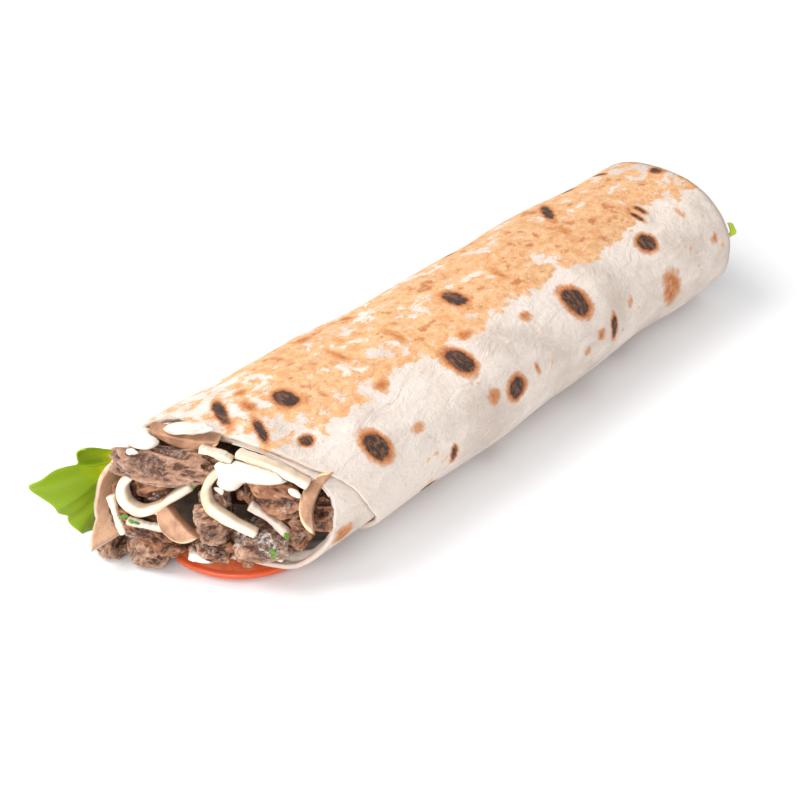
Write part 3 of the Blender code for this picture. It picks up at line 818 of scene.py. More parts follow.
@dataclass
class Flatbread:
    """The rolled sheet of bread."""

    outer_columns: int = 238
    inner_columns: int = 116
    rows: int = 128
    finish: BreadFinish = field(default_factory=BreadFinish)

    def sheet(self) -> tuple[np.ndarray, np.ndarray, np.ndarray]:
        """Angle, x and points of the sheet's outer face.

        The columns follow the angle, closer on the outer turn, and the rows run from the near
        rim to the far one, closer near the mouth. Creases move the surface in and out a little,
        but not where it lies on the table.

        Returns:
            The angles, the places along x and the points, by row and column.
        """
        split = SHEET_START + math.tau
        angles = np.concatenate([
            np.linspace(SHEET_START, split, self.outer_columns, endpoint=False),
            np.linspace(split, SHEET_END, self.inner_columns),
        ])
        share, angle = np.meshgrid(np.linspace(0, 1, self.rows), angles, indexing="ij")
        near = rim_x(angle)
        far = FAR + 1.1 * np.sin(2.0 * angle + 0.7)
        x = near + (far - near) * share**1.35
        flat = roll_point(x, angle, layer_inset(angle, x))
        creases = 0.16 * lumps(flat * 0.16, 7, 24) + 0.10 * lumps(flat * (0.10, 0.5, 0.5), 8, 24)
        creases = np.where(flat[..., 2] < 1.0, 0.0, creases)
        return angle, x, roll_point(x, angle, layer_inset(angle, x) - creases)

    def masks(self, angle: np.ndarray, x: np.ndarray) -> dict[str, np.ndarray]:
        """What is painted on the sheet: toast, char and moisture.

        Toast covers the top up to an uneven front edge and fades near both mouths. Each spot
        is a cone over an ellipse, and the darkest spot at a place counts.

        Args:
            angle: Place along the rolled sheet.
            x: Place along the roll.

        Returns:
            The masks by name.
        """
        turn = np.mod(angle, math.tau)
        front = 2.62 + 0.10 * np.sin(0.09 * x) + 0.06 * np.sin(0.23 * x + 1.0)
        toast = smooth_step(turn, 2.44, 2.86) * (1.0 - smooth_step(turn, 4.5, 5.3))
        toast = toast * smooth_step(turn - front, -0.16, 0.12)
        toast = toast * (0.55 + 0.45 * smooth_step(x, NEAR + 14, NEAR + 34))
        toast = toast * (1.0 - 0.4 * smooth_step(x, FAR - 22, FAR - 2))
        char = np.zeros_like(x)
        for spot in SPOTS:
            along, around = x - spot.x, (angle - spot.angle) * ROUND_RADIUS
            cosine, sine = math.cos(spot.tilt), math.sin(spot.tilt)
            long, wide = along * cosine + around * sine, around * cosine - along * sine
            reach = np.hypot(long / spot.along, wide / spot.around)
            char = np.maximum(char, spot.burn.value * np.clip(1.55 - reach, 0.0, 1.0))
        return {"toast": toast, "char": char, "moist": np.zeros_like(x)}

    def build(self) -> bpy.types.Object:
        """Makes the sheet and paints both its faces.

        Returns:
            The piece.
        """
        angle, x, outer = self.sheet()
        points, faces = shell(outer, -grid_normals(outer), np.full(x.shape, BREAD))
        piece = new_piece("bread_sheet", points * MM, faces[:, ::-1], self.finish.make())
        masks = self.masks(angle, x)
        inside = {
            "toast": np.full(x.shape, 0.1),
            "char": 0.2 * smooth_step(masks["char"], 0.6, 1.1),
            "moist": 0.25 + 0.6 * plateau(angle, 9.3, 12.0, 0.3),
        }
        for name, values in masks.items():
            paint(piece, name, np.concatenate([values.ravel(), inside[name].ravel()]))
        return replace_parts(piece, "flatbread")


@dataclass
class Chunk:
    """A lumpy piece of food: a pressed ball with craggy relief."""

    node: str
    frame: Matrix
    centre: tuple
    size: tuple
    turn: tuple = (0, 0, 0)
    seed: int = 1
    square: float = 2.6
    roughness: float = 0.13
    crags: float = 1.0
    rings: int = 72
    sides: int = 110

    def points(self) -> tuple[np.ndarray, np.ndarray]:
        """Points of the ball, ring by ring, in the world, and how far each stands on a ridge.

        A superellipsoid is scaled by slow lumps, then by ridges that run along the fibres, and
        then by the piece's half sizes. A ridge is where a random field crosses zero.

        Returns:
            The points in metres, and the ridges' heights.
        """
        rays = ball_rays(self.rings, self.sides)
        girth = (np.abs(rays) ** self.square).sum(axis=-1, keepdims=True) ** (1.0 / self.square)
        pressed = rays / girth
        slow = lumps(rays * 1.7, self.seed) + 0.55 * lumps(rays * 4.2, self.seed + 50)
        world = rays * np.array(self.size)
        coarse = 0.7 - np.abs(lumps(world * (0.2, 0.55, 0.55), self.seed + 90, 14)) * 2.0
        fine = 0.6 - np.abs(lumps(world * (0.3, 1.3, 1.3), self.seed + 91, 14)) * 2.0
        finer = 0.5 - np.abs(lumps(world * (0.7, 2.8, 2.8), self.seed + 92, 14)) * 2.0
        relief = self.crags * (0.7 * coarse + 0.45 * fine + 0.22 * finer)
        scale = 1.0 + self.roughness * slow + relief / np.mean(self.size)
        matrix = placed(self.frame, self.centre, self.turn)
        points = transformed(pressed * scale[..., None] * np.array(self.size), matrix)
        return points, coarse + 0.8 * fine + 0.4 * finer

    def build(self, finish: bpy.types.Material, slot: str) -> bpy.types.Object:
        """Makes the piece, in place of its node if it has one.

        Args:
            finish: Its material.
            slot: Its slot in the record.

        Returns:
            The piece.
        """
        points, ridge = self.points()
        faces = grid_faces(self.rings, self.sides, True)[:, ::-1]
        piece = new_piece((self.node or slot + "_bit") + "_look", points.reshape(-1, 3), faces, finish)
        # The ridges' heights also steer the meat's painted shade in the grooves and painted highlight on the
        # ridges.
        paint(piece, "ridge", ridge.ravel())
        closed_up(piece)
        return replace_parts(piece, self.node) if self.node else piece


@dataclass
class Strip:
    """A strip of onion along a smooth path."""

    node: str
    frame: Matrix
    thickness: float
    depth: float
    path: tuple
    steps: int = 90
    sides: int = 28

    def centreline(self) -> np.ndarray:
        """The path through its points, as cubic pieces with slopes from their neighbours.

        Returns:
            The points along the path, in the mouth's millimetres.
        """
        knots = np.array(self.path, dtype=float)
        slopes = np.gradient(knots, axis=0)
        place = np.linspace(0, len(knots) - 1, self.steps)
        span = np.minimum(place.astype(int), len(knots) - 2)
        t = (place - span)[:, None]
        start, end = knots[span], knots[span + 1]
        return ((2 * t**3 - 3 * t**2 + 1) * start + (t**3 - 2 * t**2 + t) * slopes[span]
                + (3 * t**2 - 2 * t**3) * end + (t**3 - t**2) * slopes[span + 1])

    def points(self) -> np.ndarray:
        """Rings of a rounded oblong section carried along the path, shrinking at both ends.

        Returns:
            The rings' points, in metres.
        """
        line = self.centreline()
        ahead = np.gradient(line, axis=0)
        ahead /= np.linalg.norm(ahead, axis=1, keepdims=True)
        out = np.tile(np.array([0.0, 0.0, 1.0]), (self.steps, 1))
        side = np.cross(out, ahead)
        side /= np.linalg.norm(side, axis=1, keepdims=True)
        out = np.cross(ahead, side)
        angle = np.linspace(0, math.tau, self.sides, endpoint=False)
        across = signed_power(np.cos(angle), 0.62) * self.thickness / 2
        deep = signed_power(np.sin(angle), 0.62) * self.depth / 2
        share = np.linspace(0, 1, self.steps)
        ends = np.clip(np.minimum(share, 1 - share) * self.steps / 1.6, 0.0, 1.0) ** 0.35
        wobble = 1.05 + 0.2 * np.sin(share * 9.0 + self.depth * 2.0) + 0.06 * np.sin(share * 37.0)
        ring = (side[:, None, :] * (across[None, :] * wobble[:, None])[..., None]
                + out[:, None, :] * np.broadcast_to(deep, (self.steps, self.sides))[..., None])
        return transformed(line[:, None, :] + ring * ends[:, None, None], self.frame)

    def build(self, finish: bpy.types.Material, slot: str) -> bpy.types.Object:
        """Makes the strip in place of its node, with streaks painted along it.

        Args:
            finish: Its material.
            slot: Its slot in the record; not used.

        Returns:
            The piece.
        """
        faces = grid_faces(self.steps, self.sides, True)
        piece = new_piece(self.node + "_look", self.points().reshape(-1, 3), faces, finish)
        share, turn = np.meshgrid(
            np.linspace(0, 1, self.steps), np.linspace(0, math.tau, self.sides), indexing="ij"
        )
        streaks = lumps(np.stack([2.0 * share, 2.6 * np.cos(turn), 2.6 * np.sin(turn)], axis=-1), 13, 12)
        paint(piece, "ridge", streaks.ravel())
        closed_up(piece)
        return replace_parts(piece, self.node)


@dataclass
class MushroomSlice:
    """A slice of a mushroom's cap: a rounded half oval with a hollow for its gills."""

    node: str
    frame: Matrix
    centre: tuple
    turn: tuple
    half_width: float
    height: float
    hollow: float
    thickness: float
    rings: int = 26
    sides: int = 120

    def points(self) -> tuple[np.ndarray, np.ndarray]:
        """Rings of the slice and the share of each towards its rim.

        The outline's upper half is half an oval, and its lower half is a shallow arc that is
        hollowed upwards. Rings shrink from the outline to the middle of each face, and the
        face's edge is rounded.

        Returns:
            The rings' points, in millimetres, and each ring's share.
        """
        angle = np.linspace(0, math.tau, self.sides, endpoint=False)
        width = np.cos(angle) * self.half_width
        gills = 0.9 * self.hollow * self.height * (1 - np.cos(angle) ** 2)
        edge = np.where(np.sin(angle) > 0, np.sin(angle) * self.height, gills)
        outline = np.stack([width, edge, np.zeros_like(width)], axis=-1)
        middle = np.array([0.0, self.height * (0.45 + 0.3 * self.hollow), 0.0])
        turn = np.linspace(0, math.pi, self.rings)
        spread = np.clip(np.sin(turn), 0, 1) ** 0.28
        rise = signed_power(np.cos(turn), 0.45) * self.thickness / 2
        points = middle + (outline - middle)[None] * spread[:, None, None]
        points[..., 2] += rise[:, None] + 0.25 * lumps(points * 0.5, 3)
        return points, np.broadcast_to(spread[:, None], (self.rings, self.sides))

    def build(self, finish: bpy.types.Material) -> bpy.types.Object:
        """Makes the slice in place of its node, its rim painted.

        Args:
            finish: Its material.

        Returns:
            The piece.
        """
        points, spread = self.points()
        world = transformed(points, placed(self.frame, self.centre, self.turn))
        faces = grid_faces(self.rings, self.sides, True)[:, ::-1]
        piece = new_piece(self.node + "_look", world.reshape(-1, 3), faces, finish)
        dome = smooth_step(np.sin(np.linspace(0, math.tau, self.sides, endpoint=False)), -0.05, 0.2)
        paint(piece, "edge", (smooth_step(spread, 0.72, 1.0) * dome).ravel())
        closed_up(piece)
        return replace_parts(piece, self.node)


@dataclass
class Tomato:
    """The slice of tomato under the inner layer of bread."""

    radius: float = 28.8
    thickness: float = 3.3
    centre: tuple = (-99.6, 6.8, 3.2)
    lean: float = math.radians(2.2)
    rings: int = 40
    sides: int = 160

    def build(self, finish: bpy.types.Material) -> bpy.types.Object:
        """A disc with a rounded rim, of which the part inside the bread is drawn in.

        Rings run over the top, round the rim and back under; points past the cuts are
        pressed onto them.

        Args:
            finish: Its material.

        Returns:
            The piece.
        """
        turn = np.linspace(0, math.pi, self.rings)
        angle = np.linspace(0, math.tau, self.sides, endpoint=False)
        spread = np.clip(np.sin(turn), 0, 1) ** 0.25
        rise = signed_power(np.cos(turn), 0.5) * self.thickness / 2
        x = spread[:, None] * np.cos(angle) * self.radius
        y = spread[:, None] * np.sin(angle) * self.radius
        x, y = np.minimum(x, -0.2), np.minimum(y, 1.4)
        z = np.broadcast_to(rise[:, None], x.shape) + x * math.sin(self.lean)
        uneven = 0.08 * lumps(np.stack([x, y, z], axis=-1) * 0.3, 4)
        points = np.stack([x, y, z + uneven], axis=-1) + self.centre
        points[..., 2] = np.maximum(points[..., 2], 0.15)
        faces = grid_faces(self.rings, self.sides, True)[:, ::-1]
        piece = new_piece("tomato_look", points.reshape(-1, 3) * MM, faces, finish)
        edge = smooth_step(np.broadcast_to(np.hypot(x, y) / self.radius, x.shape), 0.90, 0.985)
        paint(piece, "edge", edge.ravel())
        closed_up(piece)
        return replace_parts(piece, "tomato_slice")


@dataclass
class Leaf:
    """A frilled lettuce leaf that fans out from between the layers at the back."""

    radius: float = 18.5
    thickness: float = 0.45
    rows: int = 60
    columns: int = 150

    def points(self) -> np.ndarray:
        """The leaf's outer face: rays fan from a base line to a lobed rim that ruffles.

        Returns:
            The grid, in millimetres.
        """
        out, side = np.meshgrid(
            np.linspace(0, 1, self.rows), np.linspace(0, 1, self.columns), indexing="ij"
        )
        angle = np.radians(-72.0 + 140.0 * side)
        lobe = 4.5 * np.exp(-(((angle - 0.44) / 0.28) ** 2))
        lobe = lobe - 2.0 * np.exp(-(((angle + 0.35) / 0.35) ** 2))
        lobe = lobe - 3.8 * np.exp(-(((angle - 0.93) / 0.13) ** 2))
        wild = lumps(np.stack([9.0 * side, 2.6 * out, 0.0 * out], axis=-1), 61, 14)
        wilder = lumps(np.stack([24.0 * side, 5.0 * out, 0.0 * out], axis=-1), 62, 14)
        lobe = lobe + out * (2.0 * wild + 1.1 * wilder)
        rim_along = 12.0 + (self.radius + lobe) * np.cos(angle)
        rim_z = 20.0 + (self.radius + lobe) * np.sin(angle)
        along = -3.0 + out * (rim_along + 3.0)
        base = 20.0 + 7.0 * side
        z = base + (rim_z - base) * out**1.8
        ruffle = 1.9 * out**1.6 * np.sin(3.2 * math.tau * side + 2.0 * out)
        frill = out**1.4 * 2.2 * wild + out**2 * 2.2 * wilder
        y = 33.4 + 0.15 * along + ruffle + frill
        return np.stack([-119.0 - along, y, np.maximum(z, 1.0)], axis=-1)

    def build(self, finish: bpy.types.Material) -> bpy.types.Object:
        """Makes the leaf in place of its node, its rim painted.

        Args:
            finish: Its material.

        Returns:
            The piece.
        """
        face = self.points()
        points, faces = shell(face, grid_normals(face), np.full(face.shape[:2], self.thickness))
        piece = new_piece("leaf_look", points * MM, faces, finish)
        out = np.repeat(np.linspace(0, 1, self.rows), self.columns)
        paint(piece, "edge", np.concatenate([out, out]))
        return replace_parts(piece, "lettuce_leaf")


CHUNKS = (
    Chunk("meat_top_strip", NEAR_MOUTH, (-10.5, 12.3, 1.5), (16.5, 5.4, 4.2), (-12, 0, 4), 11, crags=1.2),
    Chunk("meat_in_ring", NEAR_MOUTH, (-14.5, 3.5, -6.0), (8.0, 6.5, 5.0), (0, 0, 10), 12),
    Chunk("meat_middle", NEAR_MOUTH, (4.0, -3.2, 0.0), (5.8, 8.6, 6.5), (0, 10, 5), 13),
    Chunk("meat_right", NEAR_MOUTH, (22.0, 6.4, -3.0), (9.3, 7.2, 7.0), (0, 0, -12), 14),
    Chunk("meat_low_right", NEAR_MOUTH, (19.0, -8.8, 0.5), (8.6, 6.0, 6.5), (0, 0, 8), 15),
    Chunk("meat_sliver", NEAR_MOUTH, (-16.5, -12.4, -1.5), (10.5, 4.2, 5.0), (0, 0, -14), 16),
    Chunk("meat_behind_right", NEAR_MOUTH, (36.5, 1.0, -4.5), (5.0, 5.2, 5.0), (0, 0, 0), 17),
    Chunk("meat_low_left", NEAR_MOUTH, (-9.2, -15.4, -1.5), (4.8, 3.2, 5.0), (0, 0, 6), 23),
    Chunk("meat_low_middle", NEAR_MOUTH, (4.5, -14.6, -0.5), (5.5, 3.2, 5.0), (0, 0, 0), 18),
    Chunk("meat_right_edge", NEAR_MOUTH, (28.9, -5.4, -4.0), (4.4, 7.0, 5.0), (0, 0, -8), 19),
    Chunk("meat_left_wall", NEAR_MOUTH, (-26.0, -6.5, -4.5), (4.8, 8.0, 5.5), (0, 0, 0), 20),
    Chunk("meat_on_table", TABLE, (-133.2, 14.6, 5.9), (5.2, 6.6, 4.9), (0, 0, 28), 21),
    Chunk("meat_on_table_left", TABLE, (-138.6, 25.6, 4.4), (4.4, 5.6, 3.9), (0, 0, 28), 22),
    Chunk("meat_far_top", FAR_MOUTH, (-8.0, 10.0, -4.0), (12.0, 6.5, 6.0), (0, 0, -8), 31),
    Chunk("meat_far_front", FAR_MOUTH, (-19.0, -4.0, -4.5), (8.5, 8.0, 6.5), (0, 0, 20), 32),
    Chunk("meat_far_middle", FAR_MOUTH, (-1.5, -7.5, -3.5), (8.0, 7.0, 6.5), (0, 0, -15), 33),
    Chunk("meat_far_back", FAR_MOUTH, (15.5, -2.0, -4.5), (8.5, 9.0, 6.5), (0, 0, 12), 34),
)

STRIPS = (
    Strip("onion_loop", NEAR_MOUTH, 3.1, 5.0,
          ((-14.5, 9.8, -0.5), (-20.5, 8.3, -0.2), (-24.8, 3.5, 0.0), (-24.2, -1.8, 0.4), (-19.5, -4.4, 0.8),
           (-14.0, -2.4, 1.0), (-9.0, 1.6, 0.6), (-3.0, 6.0, -1.0))),
    Strip("onion_hook", NEAR_MOUTH, 3.0, 4.4,
          ((9.0, 15.2, 3.0), (5.0, 12.4, 4.2), (3.0, 8.0, 5.0), (4.2, 3.2, 5.6), (8.4, 0.4, 6.0),
           (13.7, -1.9, 6.2), (19.2, -3.9, 6.2))),
    Strip("onion_under_rim", NEAR_MOUTH, 2.8, 5.0,
          ((11.0, 19.0, 0.5), (18.0, 17.6, 1.5), (26.6, 15.2, 2.0), (33.6, 12.4, 2.2))),
    Strip("onion_clear", NEAR_MOUTH, 2.2, 3.4,
          ((16.0, 4.4, 4.5), (22.0, 0.4, 3.4), (27.6, -4.6, 2.8))),
    Strip("onion_by_wall", NEAR_MOUTH, 2.2, 3.6,
          ((-29.0, -1.0, 0.0), (-26.8, -7.5, 0.8), (-24.4, -13.0, 1.4))),
    Strip("onion_sliver", NEAR_MOUTH, 2.0, 3.0,
          ((-23.0, -7.6, 2.4), (-17.0, -8.2, 2.6), (-11.8, -8.9, 1.8))),
    Strip("onion_top", NEAR_MOUTH, 2.2, 4.0, ((0.5, 19.8, 2.4), (5.6, 19.2, 3.2), (10.4, 17.4, 3.0))),
    Strip("onion_far", FAR_MOUTH, 3.0, 4.4,
          ((-24.0, 7.0, 2.2), (-14.0, 3.4, 3.2), (-6.0, 2.4, 3.6), (3.0, 6.4, 3.4), (9.0, 12.0, 2.6))),
)

SLICES = (
    MushroomSlice("mushroom_top", NEAR_MOUTH, (-5.0, 23.6, 0.6), (-24, 0, 177), 10.8, 5.8, 0.15, 4.6),
    MushroomSlice("mushroom_middle", NEAR_MOUTH, (-5.6, -3.6, 2.6), (0, 14, 142), 8.2, 8.2, 0.10, 4.2),
    MushroomSlice("mushroom_right", NEAR_MOUTH, (38.0, 6.4, 1.2), (0, 34, 80), 9.6, 7.2, 0.42, 4.4),
    MushroomSlice("mushroom_far", FAR_MOUTH, (17.0, 12.0, -1.6), (0, 0, -35), 8.0, 6.5, 0.3, 4.0),
)


@dataclass
class Smear:
    """Sauce smeared on the bread's inside."""

    name: str
    angles: tuple
    reach: tuple
    height: float
    seed: int
    node: str = ""
    rows: int = 70
    columns: int = 90

    def build(self, finish: bpy.types.Material) -> bpy.types.Object:
        """A sheet on the wall whose height rises from below the wall, so its border is uneven.

        Args:
            finish: Its material.

        Returns:
            The piece, which replaces its node if it has one.
        """
        turn, out = np.meshgrid(
            np.linspace(0, 1, self.columns), np.linspace(0, 1, self.rows), indexing="ij"
        )
        angle = self.angles[0] + turn * (self.angles[1] - self.angles[0])
        x = rim_x(angle) + self.reach[0] + out * (self.reach[1] - self.reach[0])
        wall = layer_inset(angle, x) + BREAD
        flat = np.stack([x, angle * 25.0, 0.0 * x], axis=-1)
        swell = plateau(turn, 0.25, 0.75, 0.25) * plateau(out, 0.22, 0.7, 0.22)
        height = self.height * swell * (1.0 + 0.35 * lumps(flat * 0.22, self.seed)) - 0.25
        height += 0.35 * swell * lumps(flat * 0.6, self.seed + 1)
        face = roll_point(x, angle, wall + height)
        normals = -grid_normals(roll_point(x, angle, wall))
        middle = np.array([0.0, 0.0, HEIGHT / 2])
        inwards = ((middle - face)[..., 1:] * normals[..., 1:]).sum() > 0
        normals = normals if inwards else -normals
        points, faces = shell(face, normals, np.maximum(height, 0.0) + 0.45)
        faces = faces if facing(points, faces) else faces[:, ::-1]
        piece = new_piece(self.name, points * MM, faces, finish)
        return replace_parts(piece, self.node) if self.node else piece


@dataclass
class Crumbs:
    """Small bits between the pieces: crumbs of meat, flakes of herb or drops of sauce."""

    name: str
    slot: str
    frame: Matrix
    spots: tuple
    size: tuple
    seed: int
    rings: int = 12
    sides: int = 16

    def build(self, finish: bpy.types.Material) -> bpy.types.Object:
        """Rough little balls, stretched and turned by chance, one at each spot.

        Args:
            finish: Their material.

        Returns:
            The piece.
        """
        draw = np.random.default_rng(self.seed)
        rays = ball_rays(self.rings, self.sides)
        points, faces = [], []
        quads = grid_faces(self.rings, self.sides, True)[:, ::-1]
        for number, spot in enumerate(self.spots):
            stretch = np.array(self.size) * draw.uniform(0.6, 1.3, 3)
            rough = 1.0 + 0.3 * lumps(rays * 2.2, self.seed + number)
            turn = Euler(draw.uniform(-0.7, 0.7, 3)).to_matrix().to_4x4()
            matrix = self.frame @ Matrix.Translation(Vector(spot) * MM) @ turn
            points.append(transformed(rays * rough[..., None] * stretch, matrix).reshape(-1, 3))
            faces.append(quads + number * self.rings * self.sides)
        piece = new_piece(self.name, np.concatenate(points), np.concatenate(faces), finish)
        paint(piece, "ridge", np.full(len(piece.data.vertices), 0.2))
        closed_up(piece)
        return piece


HERB_SPOTS = (
    (-23.5, -5.6, 4.2), (-21.0, -6.8, 4.4), (-19.2, -7.2, 4.2), (23.8, -8.6, 7.0), (24.6, -10.6, 6.6),
    (27.8, -3.6, 5.4), (-2.0, 7.2, 1.5),
)
CRUMB_SPOTS = (
    (-3.0, 5.0, -3.5), (-1.5, -9.0, 0.5), (11.0, -7.0, -1.0), (12.0, 4.0, -2.5), (29.5, 1.5, -1.0),
    (13.0, -14.8, 1.5), (-2.5, -16.0, 1.0), (-14.0, -15.6, 1.5), (-24.5, -12.8, -0.5),
    (26.0, -11.0, -1.0), (-8.0, 6.4, -2.0), (0.5, 1.5, -2.0), (9.8, -12.4, 1.5), (33.5, -2.0, -1.0),
    (-19.6, 6.0, -2.5), (2.0, 12.0, -2.5), (-26.0, 2.5, -3.0), (15.0, -16.4, 2.0),
)
DROP_SPOTS = (
    (-20.5, 16.4, 4.0), (6.8, 8.2, 5.2), (-2.2, -17.4, 3.0), (24.5, -14.2, 1.0), (29.0, 9.8, 3.2),
)


def facing(points: np.ndarray, faces: np.ndarray) -> bool:
    """Whether a closed mesh's quads look outwards: its volume by their tetrahedra is positive.

    Args:
        points: The mesh's points.
        faces: Its quads.

    Returns:
        Whether they look outwards.
    """
    corners = points[faces]
    halves = np.cross(corners[:, 1], corners[:, 2]) + np.cross(corners[:, 2], corners[:, 3])
    return float((corners[:, 0] * halves).sum()) > 0.0


def smooth_node(
    node: bpy.types.Object,
    finish: bpy.types.Material,
    name: str,
    voxel: float = 0.5,
    rounds: int = 14,
) -> bpy.types.Object:
    """A rounded, finer copy of a node.

    Args:
        node: The node, whose faces are loose until its doubles are merged.
        finish: The copy's material.
        name: Its name.
        voxel: The size of its cells, in millimetres.
        rounds: How often it is smoothed.

    Returns:
        The copy, which replaces the node.
    """
    mesh = node.data.copy()
    mesh.materials.clear()
    mesh.materials.append(finish)
    piece = bpy.data.objects.new(name, mesh)
    bpy.context.scene.collection.objects.link(piece)
    weld = piece.modifiers.new("weld", "WELD")
    weld.merge_threshold = 0.03 * MM
    remesh = piece.modifiers.new("even", "REMESH")
    remesh.mode = "VOXEL"
    remesh.voxel_size = voxel * MM
    remesh.use_smooth_shade = True
    soft = piece.modifiers.new("soft", "SMOOTH")
    soft.factor, soft.iterations = 0.5, rounds
    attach(piece, "root")
    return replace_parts(piece, node.name)


@dataclass
class Core:
    """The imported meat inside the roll, craggy where the mouths let it show."""

    depth: float = 7.4
    rings: int = 150
    sides: int = 150

    def build(self, finish: bpy.types.Material) -> bpy.types.Object:
        """The core's rounded roll, with lumps and ridged crags pressed into it.

        Rings of the roll's section, some way inside it, shrink to a point at both ends, and
        the near end is slanted as the mouth is.

        Args:
            finish: Its material.

        Returns:
            The piece.
        """
        turn = np.linspace(0, math.tau, self.sides, endpoint=False)[None, :]
        rays = ball_rays(self.rings, self.sides)[..., (1, 0, 2)]
        reach = signed_power(rays[..., 2], 0.9)
        girth = (1.0 - np.abs(reach) ** 7.0) ** 0.5
        near, far = NEAR + 4.0, FAR - 9.0
        x = near + (far - near) * (reach + 1.0) / 2.0
        ring = roll_point(x, turn + 0.0 * x, self.depth + 1.2 * lumps(rays * 3.0, 5))
        middle = np.stack([x, np.zeros_like(x), np.full_like(x, HEIGHT / 2)], axis=-1)
        points = middle + (ring - middle) * girth[..., None]
        points[..., 0] -= SLANT * points[..., 1] * smooth_step(-x, 40.0, 100.0)
        crag = 1.6 * (0.5 - np.abs(lumps(points * 0.33, 6, 16)) * 2.0) + 0.7 * lumps(points * 1.1, 9, 16)
        points[..., 0] += crag * np.sign(x)
        points[..., 1:] *= (1.0 - 0.012 * np.abs(crag))[..., None]
        faces = grid_faces(self.rings, self.sides, True)
        piece = new_piece("core_look", points.reshape(-1, 3) * MM, faces, finish)
        # The crags' heights steer the painted shade in the grooves and painted highlight on the ridges.
        paint(piece, "ridge", crag.ravel() * 0.5)
        closed_up(piece)
        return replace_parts(piece, "filling_core")


class Food(Enum):
    """The finishes of the filling."""

    MEAT = MeatFinish()
    # In each meat below, the second tone is painted shade for the grooves and the third is painted highlight
    # for the ridges and fibres.
    COATED = MeatFinish(
        "coated_meat", tone(158, 112, 86), tone(84, 50, 34), tone(204, 164, 136), tone(226, 218, 210), 0.42
    )
    TOP = MeatFinish(
        "top_meat", tone(162, 118, 92), tone(94, 58, 40), tone(200, 162, 136), tone(214, 196, 184), 0.2
    )
    # A darker copy of the meat: painted shade for the core deep inside the roll.
    DEEP = MeatFinish(
        "deep_meat_painted_shade", tone(96, 56, 36), tone(38, 18, 11), tone(140, 92, 64), tone(130, 104, 90), 0.1
    )
    ONION = SoftFinish("onion", tone(232, 218, 198), tone(212, 186, 156), 0.28, 90.0, 0.12, 0.5, 0.2)
    CLEAR = SoftFinish("clear_onion", tone(212, 198, 186), tone(178, 158, 142), 0.2, 90.0, 0.12, 0.5, 0.2)
    MUSHROOM = EdgedFinish("mushroom", tone(192, 146, 114), tone(148, 106, 78), tone(228, 190, 150))
    SAUCE = SoftFinish("sauce", tone(228, 221, 212), tone(212, 198, 182), 0.2, 110.0, 0.3, 0.2)
    TOMATO = EdgedFinish("tomato", tone(216, 104, 62), tone(228, 138, 94), tone(208, 88, 50), 0.2)
    LEAF = EdgedFinish(
        "leaf", tone(190, 206, 24), tone(154, 186, 2), tone(128, 162, 2), 0.5, 90.0, 0.3, 0.3
    )
    HERB = SoftFinish("herb", tone(86, 140, 24), tone(58, 108, 14), 0.4, 400.0, 0.1, 0.2)


DRESSED = {
    "meat_middle": Food.COATED,
    "meat_low_right": Food.COATED,
    "meat_top_strip": Food.TOP,
    "meat_on_table": Food.TOP,
    "meat_on_table_left": Food.TOP,
    "onion_clear": Food.CLEAR,
    "onion_sliver": Food.CLEAR,
}


@dataclass
class Filling:
    """Everything inside the bread."""

    nodes: dict[str, bpy.types.Object]

    def build(self) -> list[bpy.types.Object]:
        """Makes every piece of the filling.

        Returns:
            The pieces, in order.
        """
        looks = {food: food.value.make() for food in Food}
        sauce = looks[Food.SAUCE]
        made = [chunk.build(looks[DRESSED.get(chunk.node, Food.MEAT)], "meat") for chunk in CHUNKS]
        # The core gets the darker copy of the meat, painted shade for the inside of the roll.
        made.append(Core().build(looks[Food.DEEP]))
        made += [strip.build(looks[DRESSED.get(strip.node, Food.ONION)], "onion") for strip in STRIPS]
        made += [mushroom.build(looks[Food.MUSHROOM]) for mushroom in SLICES]
        for name in ("sauce_top_left", "sauce_top", "sauce_low", "sauce_far"):
            made.append(smooth_node(self.nodes[name], sauce, name + "_look"))
        made += [smear.build(sauce) for smear in SMEARS]
        made.append(MUSHROOM_SAUCE.build(sauce, "sauce"))
        for crumbs, food in CRUMBS:
            made.append(crumbs.build(looks[food]))
        made.append(Tomato().build(looks[Food.TOMATO]))
        made.append(Leaf().build(looks[Food.LEAF]))
        tip = self.nodes["lettuce_tip"]
        made.append(smooth_node(tip, looks[Food.LEAF], "lettuce_tip_look", 0.3, 3))
        return made


SMEARS = (
    Smear("sauce_on_bread_look", (math.tau + 0.45, math.tau + 1.5), (0.8, 18.0), 1.7, 71, "sauce_on_bread"),
    Smear("sauce_under_rim", (8.25, 9.35), (-0.5, 15.0), 3.6, 72),
)
MUSHROOM_SAUCE = Chunk(
    "", NEAR_MOUTH, (-3.6, 25.2, 1.4), (6.4, 1.7, 2.2), (-10, 0, 8), 81, 2.2, 0.2, 0.0, 30, 44
)
CRUMBS = (
    (Crumbs("herb_flakes", "leaf", NEAR_MOUTH, HERB_SPOTS, (1.3, 0.8, 0.35), 82), Food.HERB),
    (Crumbs("meat_crumbs", "meat", NEAR_MOUTH, CRUMB_SPOTS, (2.1, 1.6, 1.6), 83), Food.MEAT),
    (Crumbs("sauce_drops", "sauce", NEAR_MOUTH, DROP_SPOTS, (1.8, 1.2, 0.8), 84), Food.SAUCE),
)


@dataclass(frozen=True)
class Lamp:
    """A square soft light that looks at the wrap: its place and size in metres, and its watts."""

    name: str
    place: Triple
    size: float
    power: float

    def build(self) -> None:
        """Makes the light."""
        lamp = bpy.data.lights.new(self.name, "AREA")
        lamp.size, lamp.energy = self.size, self.power
        light = bpy.data.objects.new(self.name, lamp)
        light.location = self.place
        light.rotation_euler = (-Vector(self.place)).to_track_quat("-Z", "Y").to_euler()
        bpy.context.scene.collection.objects.link(light)


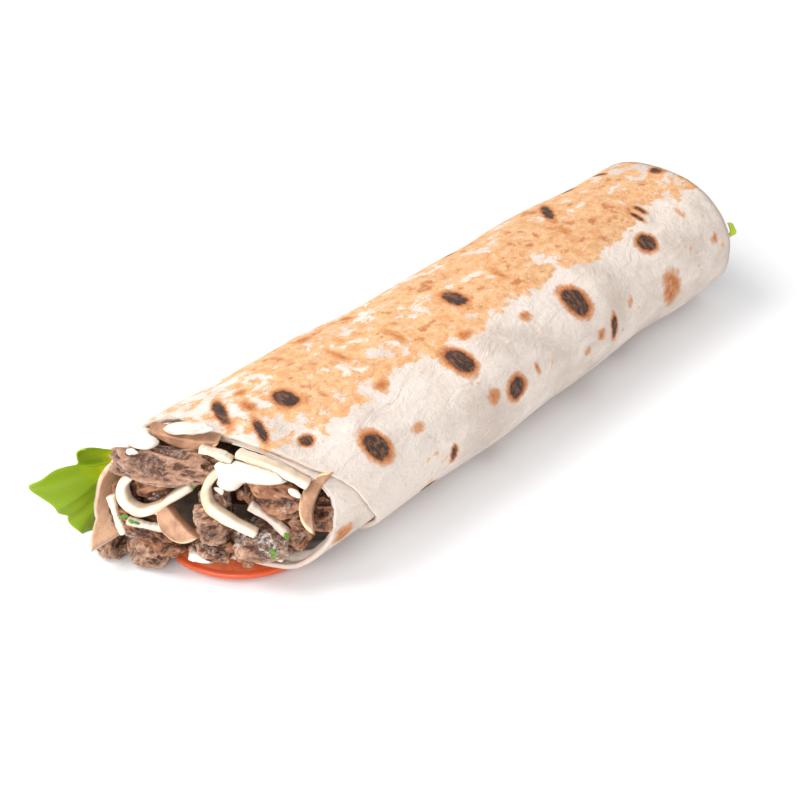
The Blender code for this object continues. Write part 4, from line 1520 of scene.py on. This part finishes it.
@dataclass
class Studio:
    """The floor, the lights and the camera."""

    floor_reach: float = 3.0
    floor_colour: tuple[float, float, float, float] = (0.90, 0.90, 0.91, 1.0)
    daylight: float = 0.75
    lamps: tuple[Lamp, ...] = (
        Lamp("key", (-0.5, 0.45, 0.85), 0.6, 8.0),
        Lamp("fill", (-0.95, -0.25, 0.38), 0.7, 6.5),
    )

    def lay_floor(self) -> None:
        """Makes the pale floor, which isn't a part of the object."""
        mesh = bpy.data.meshes.new("floor")
        far = self.floor_reach
        mesh.from_pydata([(-far, -far, 0), (far, -far, 0), (far, far, 0), (-far, far, 0)], [], [(0, 1, 2, 3)])
        floor = bpy.data.objects.new("floor", mesh)
        paper = bpy.data.materials.new("paper")
        paper.use_nodes = True
        shader = paper.node_tree.nodes["Principled BSDF"]
        shader.inputs["Base Color"].default_value = self.floor_colour
        shader.inputs["Roughness"].default_value = 0.9
        mesh.materials.append(paper)
        bpy.context.scene.collection.objects.link(floor)

    def light(self) -> None:
        """Makes the even light from all round and the lamps."""
        world = bpy.data.worlds.new("studio")
        world.use_nodes = True
        world.node_tree.nodes["Background"].inputs["Color"].default_value = (1.0, 1.0, 1.0, 1.0)
        world.node_tree.nodes["Background"].inputs["Strength"].default_value = self.daylight
        bpy.context.scene.world = world
        for lamp in self.lamps:
            lamp.build()

    def aim(self) -> None:
        """Makes the camera at the picture's viewing angle."""
        lens = bpy.data.cameras.new("camera")
        lens.lens, lens.sensor_width = CAMERA_FOCAL, CAMERA_SENSOR
        camera = bpy.data.objects.new("camera", lens)
        right, up = Vector(CAMERA_RIGHT), Vector(CAMERA_UP)
        matrix = Matrix((right, up, right.cross(up))).transposed().to_4x4()
        matrix.translation = CAMERA_PLACE
        camera.matrix_world = matrix
        bpy.context.scene.collection.objects.link(camera)
        bpy.context.scene.camera = camera
        bpy.context.scene.view_settings.view_transform = "Standard"


def main() -> None:
    """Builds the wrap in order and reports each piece."""
    logging.basicConfig(level=logging.INFO)
    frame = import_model()
    for piece in [Flatbread().build(), *Filling(frame["nodes"]).build()]:
        log.info("%s has %d faces", piece.name, len(piece.data.polygons))
    studio = Studio()
    studio.lay_floor()
    studio.light()
    studio.aim()
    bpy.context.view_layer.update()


if __name__ == "__main__":
    main()
